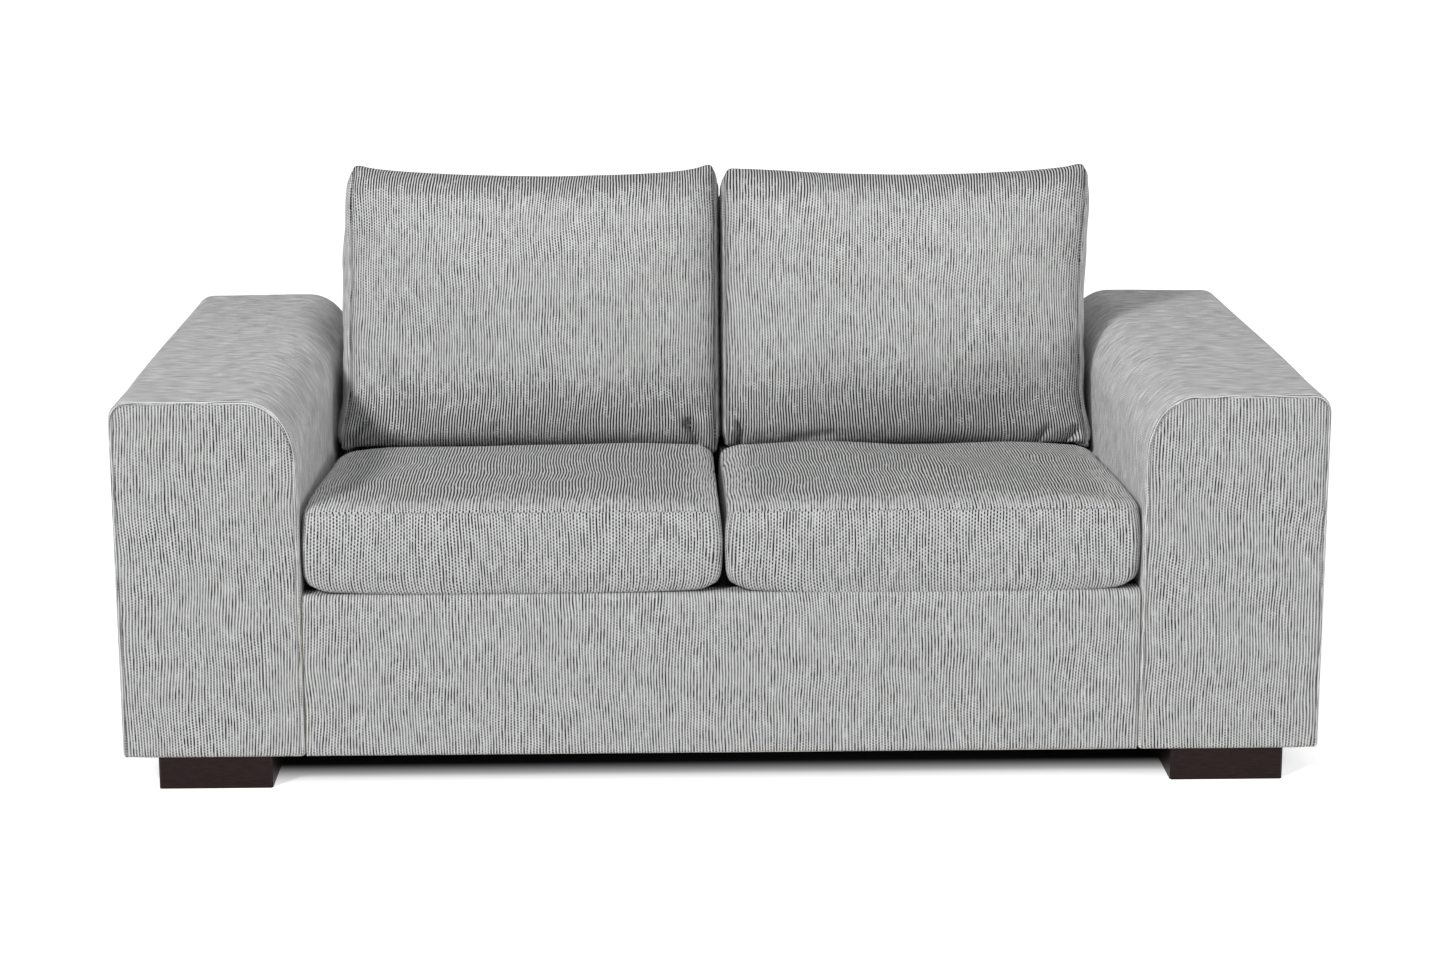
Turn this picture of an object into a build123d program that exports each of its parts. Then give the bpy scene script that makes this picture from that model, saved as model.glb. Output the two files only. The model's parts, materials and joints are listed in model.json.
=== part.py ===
from build123d import *
from math import atan2, cos, pi, radians, sin, tan
import os

# A two-seater sofa with loose cushions, in millimetres.
# X runs to the sitter's left, seen from the front as the right, Y to the rear and Z up from the floor.

# The whole sofa
overall_width = 1840
overall_depth = 960
arm_height = 608
arm_width = 280
foot_height = 50
seat_base_top = 304
back_height = 720
lean_angle = 16  # degrees

# Fabric, foam and gaps
cover_thickness = 2
dust_cover_thickness = 1
soft_gap = 0.3
fastener_gap = 0.2
overrun = 5

# Feet
foot_side = 174
foot_outer_setback = 54
foot_front_setback = 2
foot_edge_chamfer = 3

# Arms
arm_outer_radius = 46
arm_round_width = 96
arm_round_height = 134
arm_round_upper_radius = 78
arm_edge_radius = 8
arm_seam_inset = 12
arm_padding_thickness = 18
arm_end_board_thickness = 18
arm_inner_board_thickness = 15
arm_outer_board_thickness = 6
arm_base_board_thickness = 18
arm_top_board_thickness = 18

# Seat box
front_padding_thickness = 14
front_cover_top_depth = 42
front_edge_radius = 14
rail_end_gap = 1.5
rail_thickness = 25
rail_height = 120
centre_rail_width = 45
centre_rail_height = 60
corner_block_leg = 60
corner_block_height = 80
corner_block_drop = 20

# Springs and deck
springs_per_seat = 4
spring_wire = 3.8
spring_width = 52
spring_pitch = 46
spring_bearing_share = 0.25
wire_sides = 6
bend_chords = 3
clip_thickness = 1.2
clip_width = 16
clip_tail_length = 12
deck_felt_thickness = 5
deck_cloth_thickness = 2

# Back frame
back_foot_depth = 286
back_padding_front = 25
back_padding_top = 20
back_top_radius = 34
back_corner_radius = 26
post_thickness = 25
top_board_thickness = 18
lean_rail_thickness = 22
lean_rail_height = 70
lumbar_rail_rise = 40
bottom_rail_height = 70
webbing_width = 60
webbing_thickness = 1.5
webs_per_seat = 3

# Seat cushions
seat_cushion_gap = 10
seat_side_gap = 6
seat_front_setback = 1
seat_seam_height = 431
seat_press_height = 427
seat_press_lead = 20
seat_press_fall = 38
seat_crown = 23
seat_front_bulge = 7
seat_corner_draw = 7
seat_corner_lift = 17

# Back cushions
back_cushion_gap = 10
back_side_gap = 15
back_cushion_side_taper = 7
back_cushion_thickness = 196
back_cushion_crown = 46
back_cushion_corner_height = 880
back_cushion_middle_height = 864
back_cushion_top_bulge = 20
back_cushion_rear_drop = 22
back_cushion_corner_lift = 14

# Fasteners
bolt_diameter = 8
bolt_sides = 8
bolt_head_width = 13
bolt_head_height = 5.5
head_sides = 6
foot_bolt_depth = 32
nut_width = 19
nut_height = 5
side_bolt_setback = 160
post_bolt_rise = 90

# The fabric and fibre wrap round a cushion's core
wrap_thickness = 20

# Shares of a cushion's half width at which its sections stand, and how its form dies out at the sides
section_shares = (-1, -0.88, -0.66, -0.35, 0, 0.35, 0.66, 0.88, 1)
crown_power = 2
edge_crown_share = 0.16

half_width = overall_width / 2
half_depth = overall_depth / 2
half_between_arms = half_width - arm_width
front_y = -half_depth
rear_y = half_depth
frame_rear_y = rear_y - cover_thickness
base_z = foot_height + dust_cover_thickness
# The two arcs of the arm's large round meet in one direction, which sets the lower one's radius
arm_round_lower_radius = (
    arm_round_width**2 + arm_round_height**2 - 2 * arm_round_height * arm_round_upper_radius
) / (2 * (arm_round_width - arm_round_upper_radius))
back_foot_y = rear_y - back_foot_depth
lean = radians(lean_angle)

rail_top = seat_base_top - deck_cloth_thickness - deck_felt_thickness - spring_wire - soft_gap - clip_thickness
rail_bottom = rail_top - rail_height
wire_z = rail_top + clip_thickness + soft_gap + spring_wire / 2
spring_top = wire_z + spring_wire / 2
clip_reach = (spring_wire / 2 + soft_gap + clip_thickness) / cos(pi / 6) + soft_gap
front_rail_y = front_y + cover_thickness + front_padding_thickness
front_rail_back_y = front_rail_y + rail_thickness
rear_rail_back_y = back_foot_y + cover_thickness
rear_rail_y = rear_rail_back_y - rail_thickness
member_outer_x = half_between_arms - cover_thickness
board_inset = cover_thickness + arm_padding_thickness
board_inner_x = half_between_arms + board_inset
board_outer_x = half_width - board_inset
board_top_z = arm_height - board_inset
end_board_front_y = front_y + cover_thickness
frame_plane_offset = cover_thickness + back_padding_front + webbing_thickness
frame_top = back_height - cover_thickness - back_padding_top
post_top = frame_top - top_board_thickness


def block(x_from, x_to, y_from, y_to, z_from, z_to):
    """A box between six planes."""
    size = Box(x_to - x_from, y_to - y_from, z_to - z_from, align=(Align.MIN, Align.MIN, Align.MIN))
    return Pos(x_from, y_from, z_from) * size


def prism(points, direction):
    """A straight-sided outline carried along a direction."""
    outline = Face(Wire.make_polygon(points, close=True))
    return Solid.extrude(outline, Vector(*direction))


def flat_faced(outlines):
    """A solid with flat faces between two outlines that have as many points."""
    first, last = outlines
    faces = [Face(Wire.make_polygon(points, close=True)) for points in outlines]
    for here in range(len(first)):
        there = (here + 1) % len(first)
        around = [first[here], first[there], last[there], last[here]]
        faces.append(Face(Wire.make_polygon(around, close=True)))
    return Solid(Shell(faces))


def mirrored(shape):
    """The same piece on the other side of the sofa."""
    return shape.mirror(Plane.YZ)


def on_lean(distance, height):
    """Y and Z of a point at a distance before the back's face and a height up along it."""
    y = back_foot_y + height * sin(lean) - distance * cos(lean)
    z = seat_base_top + height * cos(lean) + distance * sin(lean)
    return y, z


def height_on_lean(distance, z):
    """How far up along the back's face a point at this distance and level lies."""
    return (z - seat_base_top - distance * sin(lean)) / cos(lean)


def lean_y(distance, z):
    """Y of a point at a distance before the back's face, at a level."""
    return on_lean(distance, height_on_lean(distance, z))[0]


def arm_body(inset, y_from, y_to, bottom):
    """The arm's form drawn in by an inset: two sides, a level top, a small outer and a large inner round."""
    inner = half_between_arms + inset
    outer = half_width - inset
    top = arm_height - inset
    radius = arm_outer_radius - inset
    round_width = arm_round_width - inset
    round_height = arm_round_height - inset
    upper_radius = arm_round_upper_radius - inset
    lower_radius = arm_round_lower_radius - inset
    upper_centre = (inner + round_width, top - upper_radius)
    lower_centre = (inner + lower_radius, top - round_height)
    join_turn = atan2(upper_centre[1] - lower_centre[1], lower_centre[0] - upper_centre[0])

    def on_arc(centre, arc_radius, turn):
        """A point on an arc, turned up from the arm's inner side."""
        return Vector(centre[0] - arc_radius * cos(turn), y_from, centre[1] + arc_radius * sin(turn))

    outer_centre = (outer - radius, top - radius)
    edges = [
        Edge.make_line((inner, y_from, bottom), (outer, y_from, bottom)),
        Edge.make_line((outer, y_from, bottom), (outer, y_from, top - radius)),
        Edge.make_three_point_arc(
            on_arc(outer_centre, radius, pi),
            on_arc(outer_centre, radius, 3 * pi / 4),
            on_arc(outer_centre, radius, pi / 2),
        ),
        Edge.make_line((outer - radius, y_from, top), (inner + round_width, y_from, top)),
        Edge.make_three_point_arc(
            on_arc(upper_centre, upper_radius, pi / 2),
            on_arc(upper_centre, upper_radius, (pi / 2 + join_turn) / 2),
            on_arc(upper_centre, upper_radius, join_turn),
        ),
        Edge.make_three_point_arc(
            on_arc(lower_centre, lower_radius, join_turn),
            on_arc(lower_centre, lower_radius, join_turn / 2),
            on_arc(lower_centre, lower_radius, 0),
        ),
        Edge.make_line((inner, y_from, top - round_height), (inner, y_from, bottom)),
    ]
    return Solid.extrude(Face(Wire(edges)), Vector(0, y_to - y_from, 0))


def front_edges(body, y, bottom):
    """The edges round an arm's front, without the bottom one."""
    edges = [edge for edge in body.edges() if edge.bounding_box().max.Y < y + overrun]
    return [edge for edge in edges if edge.center().Z > bottom + overrun]


def bolt_spots():
    """Where a bolt joins the seat box or a back post to an arm, as Y and Z."""
    mid_rail = rail_bottom + rail_height / 2
    return (
        (front_rail_back_y + side_bolt_setback, mid_rail),
        (rear_rail_y - side_bolt_setback, mid_rail),
        ((rear_rail_back_y + frame_rear_y) / 2, base_z + post_bolt_rise),
    )


def many_sided(width, sides, height, plane):
    """A prism with this width across its flats: a bolt's few-faced shank or hole, its head or a nut."""
    outline = plane * RegularPolygon(width / 2, sides, major_radius=False)
    return extrude(outline, amount=height, dir=plane.z_dir)


def plane_along_x(x, y, z):
    """A plane that faces along X."""
    return Plane(origin=(x, y, z), x_dir=(0, 1, 0), z_dir=(1, 0, 0))


def bolt_holes(x_from, x_to):
    """The bolt holes along X between two planes."""
    hole_width = bolt_diameter + 2 * fastener_gap
    return [
        many_sided(hole_width, bolt_sides, x_to - x_from, plane_along_x(x_from, y, z))
        for y, z in bolt_spots()
    ]


def with_holes(shape, holes):
    """A piece less its holes."""
    for hole in holes:
        shape = shape - hole
    return shape


def foot_centres():
    """X and Y of the right feet's centres, front and rear."""
    x = half_width - foot_outer_setback - foot_side / 2
    front = front_y + foot_front_setback + foot_side / 2
    return (x, front), (x, -front)


def foot_hole(x, y, z_from, z_to):
    """A hole for a foot's bolt."""
    plane = Plane(origin=(x, y, z_from))
    return many_sided(bolt_diameter + 2 * fastener_gap, bolt_sides, z_to - z_from, plane)


def foot(x, y):
    """A square block with its edges broken and a hole for its bolt."""
    half = foot_side / 2
    body = block(x - half, x + half, y - half, y + half, 0, foot_height)
    upright = body.edges().filter_by(Axis.Z)
    body = chamfer(upright, foot_edge_chamfer)
    return body - foot_hole(x, y, foot_height - foot_bolt_depth - overrun, foot_height + overrun)


def foot_bolt(x, y):
    """A bolt from inside the arm down into the foot."""
    board_top = base_z + arm_base_board_thickness
    shank_bottom = foot_height - foot_bolt_depth
    shank = many_sided(
        bolt_diameter, bolt_sides, board_top - shank_bottom, Plane(origin=(x, y, shank_bottom))
    )
    head_plane = Plane(origin=(x, y, board_top))
    return shank + many_sided(bolt_head_width, head_sides, bolt_head_height, head_plane)


def frame_bolt(y, z):
    """A bolt through the seat box and the arm's inner side, with its head and its nut as one piece."""
    head_x = member_outer_x - rail_thickness
    nut_x = board_inner_x + arm_inner_board_thickness
    shank = many_sided(bolt_diameter, bolt_sides, nut_x - head_x, plane_along_x(head_x, y, z))
    head_plane = plane_along_x(head_x - bolt_head_height, y, z)
    head = many_sided(bolt_head_width, head_sides, bolt_head_height, head_plane)
    nut = many_sided(nut_width, head_sides, nut_height, plane_along_x(nut_x, y, z))
    return shank + head + nut


def dust_cover_sheet():
    """The cloth under the whole base, before its holes."""
    side = half_width - cover_thickness
    return block(-side, side, end_board_front_y, frame_rear_y, foot_height, base_z)


def arm_pieces():
    """The right arm's boards, padding and covers, by name."""
    below = foot_height - overrun
    behind = frame_rear_y + overrun
    back_of_front_board = end_board_front_y + arm_end_board_thickness
    front_of_rear_board = frame_rear_y - arm_end_board_thickness
    base_top = base_z + arm_base_board_thickness
    holes = bolt_holes(half_between_arms - overrun, board_inner_x + arm_inner_board_thickness + overrun)
    inner_top = arm_height - arm_round_height
    outer_top = arm_height - arm_outer_radius
    pieces = {}

    inner_chamfer = arm_edge_radius - cover_thickness
    outer_form = arm_body(0, front_y, frame_rear_y, foot_height)
    outer_form = outer_form.fillet(arm_edge_radius, front_edges(outer_form, front_y, foot_height))
    padding_form = arm_body(cover_thickness, end_board_front_y, behind, below)
    padding_form = padding_form.chamfer(
        inner_chamfer, None, front_edges(padding_form, end_board_front_y, below)
    )
    panel = arm_body(arm_seam_inset, front_y, end_board_front_y, foot_height)
    panel_cut = arm_body(arm_seam_inset, front_y - overrun, end_board_front_y + overrun, below)
    band = outer_form - padding_form - panel_cut - dust_cover_sheet()
    pieces["arm_band_cover"] = with_holes(band, holes)
    pieces["arm_front_cover"] = panel

    hollow = arm_body(board_inset, end_board_front_y - overrun, behind, below)
    arm_space = block(0, half_width, front_y, frame_rear_y, base_z, arm_height)
    pieces["arm_padding"] = with_holes((padding_form & arm_space) - hollow, holes)

    pieces["arm_front_board"] = arm_body(board_inset, end_board_front_y, back_of_front_board, base_z)
    pieces["arm_rear_board"] = arm_body(board_inset, front_of_rear_board, frame_rear_y, base_z)
    base = block(
        board_inner_x, board_outer_x, back_of_front_board, front_of_rear_board, base_z, base_top
    )
    for x, y in foot_centres():
        base = base - foot_hole(x, y, base_z - overrun, base_top + overrun)
    pieces["arm_base_board"] = base
    pieces["arm_top_board"] = block(
        half_between_arms + arm_round_width,
        half_width - arm_outer_radius,
        back_of_front_board,
        front_of_rear_board,
        board_top_z - arm_top_board_thickness,
        board_top_z,
    )
    pieces["arm_outer_board"] = block(
        board_outer_x - arm_outer_board_thickness,
        board_outer_x,
        back_of_front_board,
        front_of_rear_board,
        base_top,
        outer_top,
    )
    inner_board = block(
        board_inner_x,
        board_inner_x + arm_inner_board_thickness,
        back_of_front_board,
        front_of_rear_board,
        base_top,
        inner_top,
    )
    pieces["arm_inner_board"] = with_holes(inner_board, holes)
    return pieces


def front_cover_form(inset, back_y, bottom):
    """The front rail's covering seen from its end, with a round top front edge."""
    face_y = front_y + inset
    top = seat_base_top - inset
    radius = front_edge_radius - inset
    middle_y = face_y + radius - radius * cos(pi / 4)
    middle_z = top - radius + radius * sin(pi / 4)
    x = -half_between_arms + rail_end_gap
    edges = [
        Edge.make_line((x, face_y, bottom), (x, face_y, top - radius)),
        Edge.make_three_point_arc(
            (x, face_y, top - radius), (x, middle_y, middle_z), (x, face_y + radius, top)
        ),
        Edge.make_line((x, face_y + radius, top), (x, back_y, top)),
        Edge.make_line((x, back_y, top), (x, back_y, bottom)),
        Edge.make_line((x, back_y, bottom), (x, face_y, bottom)),
    ]
    return Solid.extrude(Face(Wire(edges)), Vector(2 * (half_between_arms - rail_end_gap), 0, 0))


def seat_box_pieces():
    """Rails, blocks, front padding and front cover, by name."""
    side_x = member_outer_x
    pieces = {}
    pieces["front_rail"] = block(-side_x, side_x, front_rail_y, front_rail_back_y, base_z, rail_top)
    pieces["rear_rail"] = block(-side_x, side_x, rear_rail_y, rear_rail_back_y, rail_bottom, rail_top)
    side_rail = block(
        side_x - rail_thickness, side_x, front_rail_back_y, rear_rail_y, rail_bottom, rail_top
    )
    holes = bolt_holes(side_x - rail_thickness - overrun, side_x + overrun)
    side_rail = with_holes(side_rail, holes)
    pieces["side_rail_right"] = side_rail
    pieces["side_rail_left"] = mirrored(side_rail)
    pieces["centre_rail"] = block(
        -centre_rail_width / 2,
        centre_rail_width / 2,
        front_rail_back_y,
        rear_rail_y,
        rail_bottom,
        rail_bottom + centre_rail_height,
    )
    block_x = side_x - rail_thickness
    block_z = rail_top - corner_block_drop - corner_block_height
    blocks = []
    for y, way in ((front_rail_back_y, 1), (rear_rail_y, -1)):
        corner = prism(
            (
                (block_x, y, block_z),
                (block_x - corner_block_leg, y, block_z),
                (block_x, y + way * corner_block_leg, block_z),
            ),
            (0, 0, corner_block_height),
        )
        blocks += [corner, mirrored(corner)]
    pieces["corner_blocks"] = Compound(children=blocks)

    cover_back_y = front_y + front_cover_top_depth
    outer = front_cover_form(0, cover_back_y, foot_height)
    inner = front_cover_form(cover_thickness, cover_back_y + overrun, foot_height - overrun)
    pieces["front_rail_cover"] = outer - inner
    clip_tail_end = spring_path()[0][1] - clip_reach - clip_tail_length
    padding = front_cover_form(cover_thickness, clip_tail_end, base_z)
    rail_space = block(
        -half_between_arms,
        half_between_arms,
        front_rail_y,
        front_rail_back_y,
        base_z - overrun,
        rail_top,
    )
    pieces["front_rail_padding"] = padding - rail_space
    return pieces


def spring_path():
    """The zigzag's corners as X across and Y along: cross legs joined by half turns of short chords."""
    radius = spring_pitch / 2
    reach = spring_width / 2 - radius
    bearing = rail_thickness * spring_bearing_share
    start = front_rail_back_y - bearing
    length = rear_rail_y + bearing - start
    legs = int(length / spring_pitch) + 1
    first = start + (length - (legs - 1) * spring_pitch) / 2
    points = [(-spring_width / 2, first)]
    side = 1
    for leg in range(legs - 1):
        y = first + leg * spring_pitch
        for chord in range(bend_chords + 1):
            turn = pi * chord / bend_chords
            points.append((side * (reach + radius * sin(turn)), y + radius - radius * cos(turn)))
        side = -side
    points.append((side * spring_width / 2, first + (legs - 1) * spring_pitch))
    return points


def wire_section(point, across, stretch):
    """A many-sided wire section at a corner, stretched across so that the wire keeps its thickness."""
    x, y = point
    corner_radius = spring_wire / 2 / cos(pi / wire_sides)
    corners = []
    for side in range(wire_sides):
        turn = pi / 2 - pi / wire_sides + 2 * pi * side / wire_sides
        reach = corner_radius * cos(turn) * stretch
        corners.append((x + across[0] * reach, y + across[1] * reach, wire_z + corner_radius * sin(turn)))
    return Wire.make_polygon(corners, close=True)


def zigzag_spring():
    """One spring about X of zero: a ruled loft through the sections at the corners of its path."""
    points = spring_path()
    sections = []
    for index, point in enumerate(points):
        before = Vector(*points[max(index - 1, 0)], 0)
        here = Vector(*point, 0)
        after = Vector(*points[min(index + 1, len(points) - 1)], 0)
        arriving = (here - before).normalized() if index > 0 else (after - here).normalized()
        leaving = (after - here).normalized() if index < len(points) - 1 else arriving
        along = (arriving + leaving).normalized()
        across = (-along.Y, along.X)
        stretch = 1 / along.dot(arriving)
        sections.append(wire_section(point, across, stretch))
    return Solid.make_loft(sections, ruled=True)


def spring_clip(leg_from, leg_to, way):
    """A bent steel clip on a spring's end leg: a hook round the wire and a tail on the rail."""
    inner = spring_wire / 2 + soft_gap
    outer = inner + clip_thickness
    inner_corner = inner / cos(pi / 6)
    outer_corner = outer / cos(pi / 6)
    tail_end = outer + clip_tail_length
    x = (leg_from[0] + leg_to[0]) / 2 - clip_width / 2
    y = leg_from[1]
    outline = (
        (tail_end, -outer),
        (-outer_corner / 2, -outer),
        (-outer_corner, 0),
        (-outer_corner / 2, outer),
        (outer_corner / 2, outer),
        (outer_corner, 0),
        (inner_corner, 0),
        (inner_corner / 2, inner),
        (-inner_corner / 2, inner),
        (-inner_corner, 0),
        (-inner_corner / 2, -inner),
        (tail_end, -inner),
    )
    points = [(x, y + way * along, wire_z + up) for along, up in outline]
    return prism(points, (clip_width, 0, 0))


def spring_centres():
    """X of each spring of the right seat."""
    spacing = half_between_arms / springs_per_seat
    return [spacing * (number + 1 / 2) for number in range(springs_per_seat)]


def suspension_pieces():
    """Springs, clips, felt and deck cloth, by name."""
    spring = zigzag_spring()
    path = spring_path()
    first_y = path[0][1]
    last_y = path[-1][1]
    front_clip = spring_clip(path[0], path[1], -1)
    rear_clip = spring_clip(path[-1], path[-2], 1)
    right = [Pos(x, 0, 0) * spring for x in spring_centres()]
    left = [Pos(-x, 0, 0) * spring for x in spring_centres()]
    clips = []
    for x in spring_centres():
        for side in (-1, 1):
            clips.append(Pos(side * x, 0, 0) * front_clip)
            clips.append(Pos(side * x, 0, 0) * rear_clip)
    pieces = {}
    pieces["seat_springs_right"] = Compound(children=right)
    pieces["seat_springs_left"] = Compound(children=left)
    pieces["spring_clips"] = Compound(children=clips)
    felt_side = member_outer_x - rail_thickness
    pieces["deck_felt"] = block(
        -felt_side,
        felt_side,
        first_y + clip_reach,
        last_y - clip_reach,
        spring_top,
        spring_top + deck_felt_thickness,
    )
    cloth_top = spring_top + deck_felt_thickness + deck_cloth_thickness
    pieces["deck_cloth"] = block(
        -half_between_arms + rail_end_gap,
        half_between_arms - rail_end_gap,
        front_y + front_cover_top_depth,
        rear_rail_back_y,
        cloth_top - deck_cloth_thickness,
        cloth_top,
    )
    return pieces


def back_form(inset, front_inset, top_inset, rear, bottom):
    """The back's form between the arms: a leaning face, a round over it and a level top, with round ends."""
    side = half_between_arms - inset
    top = back_height - top_inset
    radius = back_top_radius - max(front_inset, top_inset)
    inner_angle = pi / 2 + lean
    reach = radius / tan(inner_angle / 2)
    face_top_y = lean_y(-front_inset, top)
    low_y = lean_y(-front_inset, bottom)
    before = (-side, face_top_y - reach * sin(lean), top - reach * cos(lean))
    after = (-side, face_top_y + reach, top)
    centre_y = after[1]
    centre_z = top - radius
    half_turn = (pi / 2 - lean) / 2
    middle = (-side, centre_y - radius * sin(half_turn), centre_z + radius * cos(half_turn))
    edges = [
        Edge.make_line((-side, low_y, bottom), before),
        Edge.make_three_point_arc(before, middle, after),
        Edge.make_line(after, (-side, rear, top)),
        Edge.make_line((-side, rear, top), (-side, rear, bottom)),
        Edge.make_line((-side, rear, bottom), (-side, low_y, bottom)),
    ]
    body = Solid.extrude(Face(Wire(edges)), Vector(2 * side, 0, 0))
    return body & front_view_of_back(inset, front_y, rear + overrun, bottom)


def front_view_of_back(inset, y_from, y_to, bottom):
    """The back's outline seen from the front, with round top corners, carried from front to rear."""
    side = half_between_arms - inset
    top = back_height - inset
    radius = back_corner_radius - inset
    slant = radius * cos(pi / 4)
    edges = [
        Edge.make_line((-side, y_from, bottom), (side, y_from, bottom)),
        Edge.make_line((side, y_from, bottom), (side, y_from, top - radius)),
        Edge.make_three_point_arc(
            (side, y_from, top - radius),
            (side - radius + slant, y_from, top - radius + slant),
            (side - radius, y_from, top),
        ),
        Edge.make_line((side - radius, y_from, top), (radius - side, y_from, top)),
        Edge.make_three_point_arc(
            (radius - side, y_from, top),
            (radius - side - slant, y_from, top - radius + slant),
            (-side, y_from, top - radius),
        ),
        Edge.make_line((-side, y_from, top - radius), (-side, y_from, bottom)),
    ]
    return Solid.extrude(Face(Wire(edges)), Vector(0, y_to - y_from, 0))


def lean_rail(z_low):
    """A rail across the back, with its front face on the frame's leaning plane."""
    low = height_on_lean(-frame_plane_offset, z_low)
    front_low = on_lean(-frame_plane_offset, low)
    front_high = on_lean(-frame_plane_offset, low + lean_rail_height)
    rear_distance = -frame_plane_offset - lean_rail_thickness
    rear_high = on_lean(rear_distance, low + lean_rail_height)
    rear_low = on_lean(rear_distance, low)
    side = member_outer_x
    points = [(-side, y, z) for y, z in (front_low, front_high, rear_high, rear_low)]
    return prism(points, (2 * side, 0, 0))


def back_pieces():
    """Posts, rails, webbing, padding and covers of the back, by name."""
    pieces = {}
    plane_at = -frame_plane_offset
    lumbar = lean_rail(seat_base_top + lumbar_rail_rise)
    upper = lean_rail(post_top - lean_rail_height)
    bottom = block(
        -member_outer_x,
        member_outer_x,
        frame_rear_y - rail_thickness,
        frame_rear_y,
        base_z,
        base_z + bottom_rail_height,
    )
    profile = (
        (rear_rail_back_y, base_z),
        (frame_rear_y, base_z),
        (frame_rear_y, post_top),
        (lean_y(plane_at, post_top), post_top),
        (lean_y(plane_at, rail_top), rail_top),
        (rear_rail_back_y, rail_top),
    )
    holes = bolt_holes(member_outer_x - post_thickness - overrun, member_outer_x + overrun)
    for name, x in (
        ("right", member_outer_x - post_thickness),
        ("centre", -post_thickness / 2),
    ):
        post = prism([(x, y, z) for y, z in profile], (post_thickness, 0, 0))
        post = post - lumbar - upper - bottom
        if name == "right":
            post = with_holes(post, holes)
            pieces["back_post_left"] = mirrored(post)
        pieces["back_post_" + name] = post
    pieces["back_lumbar_rail"] = lumbar
    pieces["back_upper_rail"] = upper
    pieces["back_bottom_rail"] = bottom
    top_profile = (
        (lean_y(plane_at, post_top), post_top),
        (frame_rear_y, post_top),
        (frame_rear_y, frame_top),
        (lean_y(plane_at, frame_top), frame_top),
    )
    top_board = prism([(-member_outer_x, y, z) for y, z in top_profile], (2 * member_outer_x, 0, 0))
    inside_cover = front_view_of_back(cover_thickness, front_y, rear_y, foot_height)
    pieces["back_top_board"] = top_board & inside_cover

    webs = []
    low = height_on_lean(plane_at, seat_base_top + lumbar_rail_rise)
    high = height_on_lean(plane_at, post_top)
    web_profile = (
        on_lean(plane_at, low),
        on_lean(plane_at, high),
        on_lean(plane_at + webbing_thickness, high),
        on_lean(plane_at + webbing_thickness, low),
    )
    spacing = half_between_arms / webs_per_seat
    for number in range(2 * webs_per_seat):
        x = -half_between_arms + spacing * (number + 1 / 2) - webbing_width / 2
        webs.append(prism([(x, y, z) for y, z in web_profile], (webbing_width, 0, 0)))
    pieces["back_webbing"] = Compound(children=webs)

    outer = back_form(0, 0, 0, frame_rear_y, seat_base_top)
    inner = back_form(
        cover_thickness, cover_thickness, cover_thickness, frame_rear_y + overrun, seat_base_top - overrun
    )
    pieces["back_cover"] = outer - inner
    padding = back_form(
        cover_thickness, cover_thickness, cover_thickness, frame_rear_y, seat_base_top
    )
    pad_front = cover_thickness + back_padding_front
    pad_back = prism(
        (
            (-half_width, lean_y(-pad_front, foot_height), foot_height),
            (-half_width, rear_y + overrun, foot_height),
            (-half_width, rear_y + overrun, frame_top),
            (-half_width, lean_y(-pad_front, frame_top), frame_top),
        ),
        (overall_width, 0, 0),
    )
    pieces["back_padding"] = padding - pad_back
    arm_rear = arm_body(0, frame_rear_y, rear_y, foot_height)
    middle = front_view_of_back(0, frame_rear_y, rear_y, foot_height)
    pieces["outside_back_cover"] = arm_rear + middle + mirrored(arm_rear)
    return pieces


def base_pieces():
    """Feet, their bolts and the dust cover, by name."""
    pieces = {}
    bolts = []
    cover = dust_cover_sheet()
    for place, (x, y) in zip(("front", "rear"), foot_centres()):
        right = foot(x, y)
        pieces["foot_" + place + "_right"] = right
        pieces["foot_" + place + "_left"] = mirrored(right)
        bolt = foot_bolt(x, y)
        bolts += [bolt, mirrored(bolt)]
        for side in (-1, 1):
            cover = cover - foot_hole(side * x, y, foot_height - overrun, base_z + overrun)
    pieces["foot_bolts"] = Compound(children=bolts)
    pieces["dust_cover"] = cover
    frame_bolts = []
    for y, z in bolt_spots():
        bolt = frame_bolt(y, z)
        frame_bolts += [bolt, mirrored(bolt)]
    pieces["frame_bolts"] = Compound(children=frame_bolts)
    return pieces


def swell(share):
    """How much of the middle's crown is left at a share of the half width."""
    return edge_crown_share + (1 - edge_crown_share) * (1 - abs(share) ** crown_power)


def seat_press_y():
    """Where the seat's top begins to fall to the rear, just before the back cushion."""
    return lean_y(back_cushion_thickness, seat_press_height) - seat_press_lead


def seat_press_slope():
    """How steeply the seat's top falls under the back cushion."""
    return seat_press_fall / (back_foot_y - seat_press_y())


def seat_corners(share, inset):
    """The right seat cushion's corners at a share of its half width, with its face's and crown's middles."""
    x_from = seat_cushion_gap / 2 + inset
    x_to = half_between_arms - seat_side_gap - inset
    x = (x_from + x_to) / 2 + share * (x_to - x_from) / 2
    side = abs(share) ** crown_power
    face_y = front_y + seat_front_setback + seat_corner_draw * side + inset
    seam_y = face_y + seat_front_bulge
    low = seat_base_top + soft_gap + seat_corner_lift * side + inset
    seam = seat_seam_height - inset
    press = seat_press_height - inset
    press_y = seat_press_y()
    end_y = back_foot_y - soft_gap - inset
    end_z = press - seat_press_slope() * (end_y - press_y)
    face = (x, face_y, (low + seam) / 2)
    crown = (x, (seam_y + press_y) / 2, (seam + press) / 2 + seat_crown * swell(share))
    corners = ((x, seam_y, low), (x, seam_y, seam), (x, press_y, press), (x, end_y, end_z), (x, end_y, low))
    return corners, face, crown


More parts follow.
